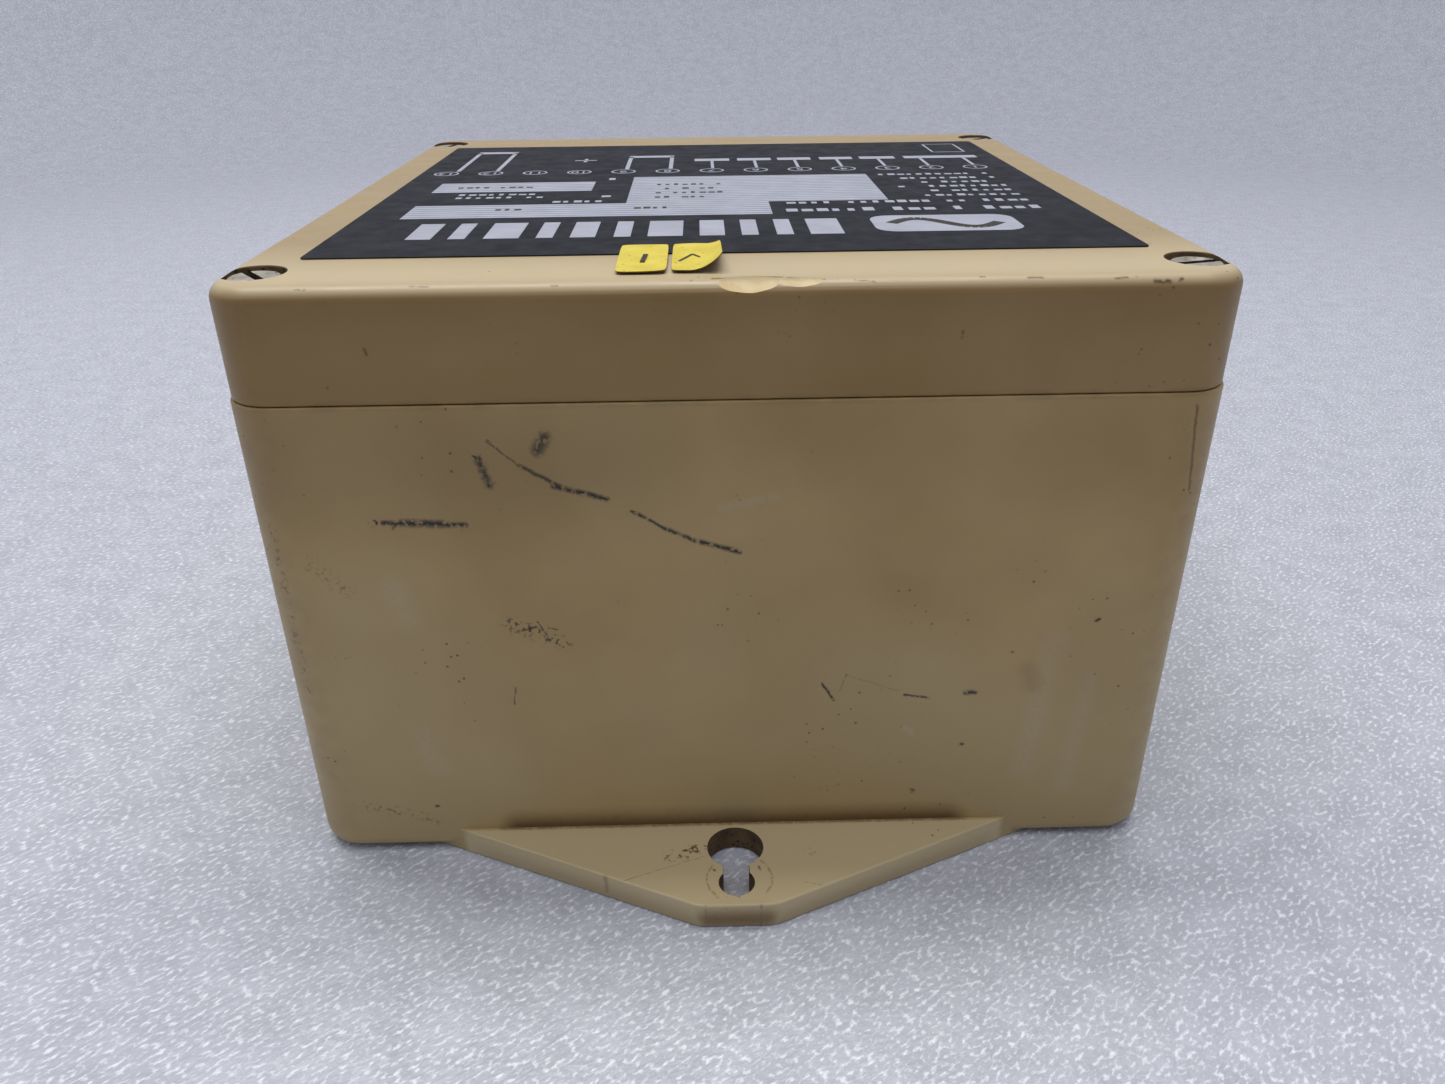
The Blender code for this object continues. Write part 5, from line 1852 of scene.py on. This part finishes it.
@dataclass
class CircuitBoard:
    """The main board with its tracks, joints, screws and small parts.

    Attributes:
        half: Half its width and half its length.
        bottom: Height of its underside.
        thickness: Its thickness.
        hole: Where its screw holes are, each side of the middle.
    """

    half: Point = (57.0, 51.0)
    bottom: float = 14.3
    thickness: float = 1.6
    hole: Point = (52.5, 45.0)

    def build(self) -> None:
        """Build the board, what is soldered to it, and its screws."""
        board = cuboid((2 * self.half[0], 2 * self.half[1], self.thickness), 0.12, 2)
        board = moved(board, (0, 0, self.bottom + self.thickness / 2))
        piece = Piece("board_laminate", LAMINATE, COPPER, TINNED, WHITE_PRINT)
        for _, spot in corner_spots(self.hole):
            board = carve(board, moved(rod(1.7, 8, steps=24), (*spot, 12)))
            pad = turned([(3.4, 0), (3.4, 0.05), (1.75, 0.05), (1.75, 0)], 32, True)
            piece.add(pad, 2, (*spot, self.bottom + self.thickness))
        piece.add(board, 0)
        self.tracks(piece)
        piece.fit("base", "circuit_laminate", "main_board")
        self.screws()
        self.small_parts()

    def tracks(self, piece: Piece) -> None:
        """Lay copper tracks under the lacquer, and bare pads, from the terminals to the parts."""
        top = self.bottom + self.thickness - 0.005
        chance = random.Random(3)
        for index in range(13):
            x = (index - 6) * 7.0
            ends = (x, x * 0.92 + chance.uniform(-1.5, 1.5))
            low = chance.choice((26.0, 23.5, 21.0))
            for part_x, near, far in ((ends[0], 31.0, 35.0), (ends[1], low, 29.0)):
                track = cuboid((1.4, far - near, 0.05))
                piece.add(track, 1, (part_x, (near + far) / 2, top))
            slant = Vector((ends[1] - ends[0], -2.2))
            turn = Matrix.Rotation(math.atan2(slant.y, slant.x), 4, "Z")
            middle = ((ends[0] + ends[1]) / 2, 30.0, top)
            piece.add(cuboid((slant.length + 1.0, 1.4, 0.05)), 1, middle, turn)
        for y in (-48.5, -46.3, -28.5, 3.0, 5.2, -7.0, -10.5):
            length = chance.uniform(30, 76)
            x = chance.uniform(-16, 16)
            piece.add(cuboid((length, 0.9, 0.05)), 1, (x, y, top))
            for end in (-1, 1):
                piece.add(rod(1.1, 0.1, steps=16), 2, (x + end * length / 2, y, top))
        for x, y in (
            (-50, 8), (-50, 2), (-50, -4), (50, -2), (50, -8), (50, 4), (10, -29), (30, -29),
        ):
            piece.add(rod(1.0, 0.35, 0.15, 16), 2, (x, y, top))
        for x, y, width, length in ((-10, -38, 14, 14.5), (31, -18, 44, 0.3), (47, 22, 0.3, 14)):
            piece.add(cuboid((width, 0.3, 0.06)), 3, (x, y - length / 2, top))
            piece.add(cuboid((0.3, length, 0.06)), 3, (x - width / 2, y, top))

    def screws(self) -> None:
        """Build the four board screws."""
        for corner, side_x, side_y in CORNERS:
            spot = (side_x * self.hole[0], side_y * self.hole[1], ON_BOARD)
            piece = Piece(f"board_fixing_{corner}", ZINC_STEEL, GRIMY_STEEL)
            piece.add(slotted_head(2.8, 1.8, (0.8, 0.9), 30 + 35 * side_x), None, spot)
            piece.add(threaded(1.4, 9, 0.8, 0.5, 20), 0, spot)
            piece.fit("base", "zinc_steel", f"board_screw_{corner}")

    def small_parts(self) -> None:
        """Stand resistors, diodes and film capacitors on the board."""
        metal = Piece("component_leads", TINNED)
        bodies = Piece(
            "resistor_bodies", RESISTOR_TAN, *(
                Finish(f"lacquer band {colour}", colour, colour, 2.0, 0.4, 0.01, 0.4, 0.05)
                for colour in BAND_COLOURS
            ), BLACK_PHENOLIC,
        )
        film = Piece("film_capacitors", Finish(
            "yellow film capacitor, dipped", "#c99a2e", "#bd8e26", 3.0, 0.5, 0.03, 0.4, 0.06,
            coat=0.3,
        ))
        rows = [(-6.0 + 6.2 * index, -8.5, 90) for index in range(9)]
        rows += [(-44.0, -46.49, 0), (-30.0, -46.5, 0), (-16.0, -46.5, 0), (-52.0, 18.0, 90)]
        rows += [(-52.0, 28.0, 90), (8.0, -28.0, 0), (54.0, -14.0, 90), (54.0, 10.0, 90)]
        for index, (x, y, angle) in enumerate(rows):
            turn = tilted(angle, "Z")
            lift = ON_BOARD + 1.5
            lead = wire(
                [(-4.6, 0, -1.4), (-4.6, 0, -0.3), (-4.3, 0, 0), (4.3, 0, 0), (4.6, 0, -0.3),
                 (4.6, 0, -1.4)], 0.3,
            )
            metal.add(lead, 0, (x, y, lift), turn)
            for end in (-4.6, 4.6):
                spot = turn @ Vector((end, 0, 0))
                cone = turned([(0, 0), (0.95, 0), (0.7, 0.25), (0.4, 0.7), (0, 0.8)], 14)
                metal.add(cone, 0, (x + spot.x, y + spot.y, ON_BOARD - 0.28))
            diode = index % 5 == 3
            barrel = [(0, -3.1), (0.7, -3.1), (1.15, -2.75), (1.2, -2.1), (1.0, -1.6), (1.0, 1.6),
                      (1.2, 2.1), (1.15, 2.75), (0.7, 3.1), (0, 3.1)]
            if diode:
                barrel = [(0, -2.3), (1.0, -2.3), (1.15, -2.1), (1.15, 2.1), (1.0, 2.3), (0, 2.3)]
            upright = turn @ tilted(90, "Y")
            bodies.add(turned(barrel, 20), 5 if diode else 0, (x, y, lift), upright)
            if diode:
                band = turned([(1.17, 1.2), (1.17, 1.8), (1.0, 1.8), (1.0, 1.2)], 20, True)
                bodies.add(band, 4, (x, y, lift), upright)
                continue
            for number, offset in enumerate((-1.3, -0.5, 0.3, 1.2)):
                low, high = offset - 0.22, offset + 0.22
                band = turned([(1.02, low), (1.02, high), (0.9, high), (0.9, low)], 20, True)
                bodies.add(band, 1 + (number * 2 + index) % 4, (x, y, lift), upright)
        for x, y, width in (
            (-52, -6, 7), (-52, -14, 7), (30, -31, 7), (12, 29, 9), (-14, 29, 9), (-36, 29, 9),
        ):
            body = cuboid((width, 3.6, 7.2), 0.9, 3)
            film.add(body, 0, (x, y, ON_BOARD + 4.6))
            for end in (-1, 1):
                leg = wire([(0, 0, -1.4), (0, 0, 1.4)], 0.3)
                metal.add(leg, 0, (x + end * width * 0.33, y, ON_BOARD + 1.2))
        metal.fit("base", "zinc_steel")
        bodies.fit("base", "winding_tape")
        film.fit("base", "winding_tape")


@dataclass
class TerminalBlock:
    """The stepped terminal block with its clamps, figures and clamp screws.

    Attributes:
        count: How many terminals it has.
        pitch: Distance between them.
        y: Its centre along Y.
        size: Its length, depth and height.
    """

    count: int = 13
    pitch: float = 7.0
    y: float = 42.0
    size: Place = (92.6, 14.0, 18.0)

    def build(self) -> None:
        """Build the block, then its screws."""
        length, depth, height = self.size
        top = ON_BOARD + height
        near, far = self.y - depth / 2, self.y + depth / 2
        outline = [(near, 0), (far, 0), (far, 8), (far - 3, 8), (far - 3, 18), (near + 3, 18),
                   (near + 3, 8), (near, 8)]
        block = prism(outline, length, 0.2, 0.2)
        # The outline is drawn across and up, so the prism is stood along X
        block.transform(
            Matrix.Translation((-length / 2, 0, ON_BOARD))
            @ Matrix(((0, 0, 1, 0), (1, 0, 0, 0), (0, 1, 0, 0), (0, 0, 0, 1)))
        )
        bmesh.ops.recalc_face_normals(block, faces=block.faces)
        wells = Piece("wells", BLACK_PHENOLIC)
        entries = Piece("entries", BLACK_PHENOLIC)
        grooves = Piece("grooves", BLACK_PHENOLIC)
        clamps = Piece("terminal_clamps", TINNED, BRASS)
        marks = Piece("terminal_figures", WHITE_PRINT)
        for index in range(self.count):
            x = (index - (self.count - 1) / 2) * self.pitch
            profile = [(0, 4.0), (1.75, 4.0), (1.75, 12.0), (2.9, 12.0), (2.9, 17.7), (3.05, 18.0),
                       (3.05, 22), (0, 22)]
            wells.add(turned(profile, 28), 0, (x, self.y, ON_BOARD))
            entries.add(cuboid((3.6, 14, 3.6), 0.25, 2), 0, (x, far, ON_BOARD + 5))
            if index:
                for y in (near, far):
                    groove = cuboid((0.7, 0.9, 30))
                    grooves.add(groove, 0, (x - self.pitch / 2, y, ON_BOARD + 5))
            plate = turned([(2.75, 0), (2.75, 0.5), (1.8, 0.5), (1.8, 0)], 28, True)
            clamps.add(plate, 0, (x, self.y, top - 6.35))
            jaw = cuboid((3.1, 4.6, 0.6), 0.12, 2)
            clamps.add(jaw, 1, (x, far - 4.0, ON_BOARD + 3.6))
            digits = figures(str(index + 1), 2.0, 0.04)
            marks.add(digits, 0, (x, near + 1.5, ON_BOARD + 8.02))
        for tool in (wells, entries, grooves):
            block = carve(block, tool.whole)
        piece = Piece("terminal_moulding", BLACK_PHENOLIC)
        piece.add(block, 0)
        piece.fit("base", "black_moulding", "terminal_block")
        clamps.fit("base", "brass")
        marks.fit("base", "white_nylon")
        self.screws(top - 5.7)

    def screws(self, seat: float) -> None:
        """Build the clamp screws, each with its slot at its own angle.

        Args:
            seat: Height of the undersides of their heads.
        """
        chance = random.Random(8)
        for index in range(self.count):
            x = (index - (self.count - 1) / 2) * self.pitch
            number = f"{index + 1:02d}"
            piece = Piece(f"clamp_screw_{number}", TINNED, GRIMY_STEEL)
            head = slotted_head(2.6, 2.0, (0.8, 0.9), chance.uniform(-40, 40))
            piece.add(head, None, (x, self.y, seat))
            piece.add(threaded(1.45, 7, 0.7, 0.4, 20), 0, (x, self.y, seat))
            piece.fit(f"terminal_screw_{number}", "zinc_steel", f"terminal_screw_{number}")


@dataclass
class Transformer:
    """A small transformer: laminated core, bobbin and taped coil.

    Attributes:
        name: Which transformer it is.
        centre: Where it stands on the board.
        leg: Width of one leg of the laminations.
    """

    name: str
    centre: Point
    leg: float

    def build(self) -> None:
        """Build the core and the coil."""
        leg = self.leg
        middle = (*self.centre, ON_BOARD + 2.5 * leg)
        core = cuboid((6 * leg, 2 * leg, 5 * leg), 0.25, 2)
        for side in (-1, 1):
            window = moved(cuboid((leg, 6 * leg, 3 * leg)), (side * 1.5 * leg, 0, 0))
            core = carve(core, window)
        piece = Piece(f"{self.name}_laminations", LAMINATIONS, ZINC_STEEL)
        piece.add(core, 0, middle)
        for side_x in (-1, 1):
            for side_z in (-1, 1):
                # Rivets hold the stack together at its corners
                rivet = turned([(0, 0), (leg * 0.2, 0), (leg * 0.16, 0.3), (0, 0.4)], 16)
                reach = Vector((side_x * 2.5 * leg, -leg, side_z * 2 * leg))
                piece.add(rivet, 1, Vector(middle) + reach, tilted(90, "X"))
        piece.fit("base", "lamination_steel", f"{self.name}_core")
        self.coil(middle)

    def coil(self, middle: Place) -> None:
        """Build the coil: bobbin flanges above and below the tape, and its leads.

        Args:
            middle: The core's centre.
        """
        leg = self.leg
        width, depth, height = 4 * leg - 0.6, 4 * leg, 3 * leg - 0.6
        piece = Piece(f"{self.name}_winding", WINDING_TAPE, BOBBIN, TINNED)
        hole = (2 * leg + 0.6, 2 * leg + 0.6, 5 * leg)
        tape = slab((width - 0.8, depth - 0.8, height - 2.0), leg / 3, 0.2, 0.2, 6)
        tape = moved(tape, (0, 0, -(height - 2.0) / 2))
        # Turns of tape overlap in shallow steps
        loops = [face for face in tape.faces if abs(face.normal.z) < 0.1]
        bmesh.ops.inset_region(tape, faces=loops, thickness=0.25, depth=0.12)
        piece.add(carve(tape, cuboid(hole)), 0, middle)
        for side in (-1, 1):
            flange = slab((width, depth, 0.9), leg / 6, 0.15, 0.15, 4)
            flange = moved(flange, (0, 0, side * (height / 2 - 0.45) - 0.45))
            piece.add(carve(flange, cuboid(hole)), 1, middle)
            for offset in (-1, 0, 1):
                lead = wire(
                    [(offset * leg, side * (depth / 2 - 0.6), -height / 2 + 0.5),
                     (offset * leg, side * (depth / 2 - 0.6), -2.5 * leg - 0.1)], 0.35,
                )
                piece.add(lead, 2, middle)
        piece.fit("base", "winding_tape", f"{self.name}_coil")


@dataclass
class Capacitor:
    """An upright electrolytic capacitor in a printed sleeve.

    Attributes:
        name: Which capacitor it is.
        centre: Where it stands on the board.
    """

    name: str
    centre: Point

    def build(self) -> None:
        """Build the sleeve, the bare top with its vent, and the polarity stripe."""
        piece = Piece(f"{self.name}_can", BLUE_SLEEVE, BARE_ALUMINIUM, SLEEVE_STRIPE, GRIMY_STEEL)
        sleeve = [(0, 0), (5.9, 0), (6.2, 0.3), (6.2, 2.1), (5.95, 2.4), (5.6, 2.8), (5.95, 3.2),
                  (6.2, 3.6), (6.2, 24.2), (6.0, 24.7), (5.4, 25), (5.0, 24.9), (0, 24.9)]
        piece.add(turned(sleeve, 56), 0, (*self.centre, ON_BOARD))
        top = turned([(0, 0), (4.9, 0), (4.9, 0.06), (0, 0.06)], 48)
        for angle in (0, 90):
            top = carve(top, moved(cuboid((8, 0.35, 1)), (0, 0, 0), tilted(angle, "Z")))
        piece.add(top, 1, (*self.centre, ON_BOARD + 24.9))
        for index in range(5):
            dash = cuboid((0.05, 1.1, 2.6), 0.02, 1)
            turn = tilted(-90, "Z") @ Matrix.Translation((6.2, 0, 0))
            piece.add(dash, 2, (*self.centre, ON_BOARD + 6.2 + index * 3.9), turn)
        piece.fit("base", "blue_sleeve", self.name)


@dataclass
class Chip:
    """A sixteen-leg chip with a notch and a dot at its first leg.

    Attributes:
        name: Which chip it is.
        centre: Where it stands on the board.
    """

    name: str
    centre: Point

    def build(self) -> None:
        """Build the body and the bent legs."""
        body = cuboid((19, 6.6, 3.4), 0.0)
        waist = [edge for edge in body.edges if abs(edge.verts[0].co.z - edge.verts[1].co.z) < 0.1]
        bevel(body, waist, 0.25, 1)
        body = carve(body, moved(rod(1, 4, steps=24), (-9.5, 0, 1.1)))
        body = carve(body, moved(rod(0.5, 4, steps=16), (-7.9, -2.2, 1.6)))
        piece = Piece(f"{self.name}_package", BLACK_PHENOLIC, TINNED, WHITE_PRINT)
        piece.add(body, 0, (*self.centre, ON_BOARD + 2.7))
        for index in range(8):
            x = self.centre[0] + (index - 3.5) * 2.3
            for side in (-1, 1):
                leg, shin = cuboid((1.2, 0.75, 0.25), 0.05, 1), cuboid((0.6, 0.25, 2.8), 0.05, 1)
                piece.add(leg, 1, (x, self.centre[1] + side * 3.55, ON_BOARD + 2.7))
                piece.add(shin, 1, (x, self.centre[1] + side * 3.85, ON_BOARD + 1.25))
        for row, width in ((0.9, 11.0), (-0.9, 8.0)):
            bar = cuboid((width, 0.7, 0.04))
            piece.add(bar, 2, (self.centre[0] + 0.8, self.centre[1] + row, ON_BOARD + 4.41))
        piece.fit("base", "black_moulding", self.name)


@dataclass
class Trimmer:
    """A square trimmer whose slotted adjuster turns in a well.

    Attributes:
        name: What it sets.
        centre: Where it stands on the board.
    """

    name: str
    centre: Point

    def build(self) -> None:
        """Build the body and its adjuster."""
        body = moved(cuboid((9.6, 9.6, 7), 0.3, 3), (0, 0, 3.5))
        well = [(0, 4), (3.6, 4), (3.6, 6.75), (3.8, 7), (3.8, 9), (0, 9)]
        body = carve(body, turned(well, 40))
        piece = Piece(f"{self.name}_case", TRIMMER_BLUE, WHITE_PRINT)
        piece.add(body, 0, (*self.centre, ON_BOARD))
        for index in range(9):
            # Scale marks round the well
            tick = cuboid((0.7, 0.16, 0.04))
            turn = tilted(-120 + 30 * index + 90, "Z") @ Matrix.Translation((4.3, 0, 0))
            piece.add(tick, 1, (*self.centre, ON_BOARD + 7.0), turn)
        piece.fit("base", "blue_sleeve", f"{self.name}_body")
        knob = slotted_head(3.3, 3.2, (1.0, 1.0), 0)
        adjuster = Piece(f"{self.name}_rotor", WHITE_NYLON, WHITE_NYLON)
        adjuster.add(knob, None, (*self.centre, ON_BOARD + 4.3))
        body_name = f"{self.name.split('_')[0]}_adjuster"
        adjuster.fit(body_name, "white_nylon", f"{self.name}_adjuster")


def main() -> None:
    """Build the studio and every sub-assembly, and report each piece."""
    logging.basicConfig(level=logging.INFO, format="%(message)s")
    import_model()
    assemblies = [
        Studio(),
        Housing(),
        Cover(),
        RatingLabel(),
        NumberStickers(),
        CoverFixings(),
        CableGland("left", -28.0),
        CableGland("right", 28.0),
        CircuitBoard(),
        TerminalBlock(),
        Transformer("supply_transformer", (-31.0, -22.0), 7.0),
        Transformer("current_transformer", (3.0, 14.0), 4.6),
        Transformer("voltage_transformer", (36.0, 14.0), 4.6),
        Capacitor("filter_capacitor", (2.0, -38.0)),
        Capacitor("output_capacitor", (18.0, -38.0)),
        Chip("multiplier_chip", (20.0, -18.0)),
        Chip("amplifier_chip", (42.0, -18.0)),
        Trimmer("zero_trimmer", (36.0, -40.0)),
        Trimmer("span_trimmer", (49.0, -31.0)),
    ]
    for assembly in assemblies:
        assembly.build()
        LOG.info("built %s", type(assembly).__name__)


if __name__ == "__main__":
    main()
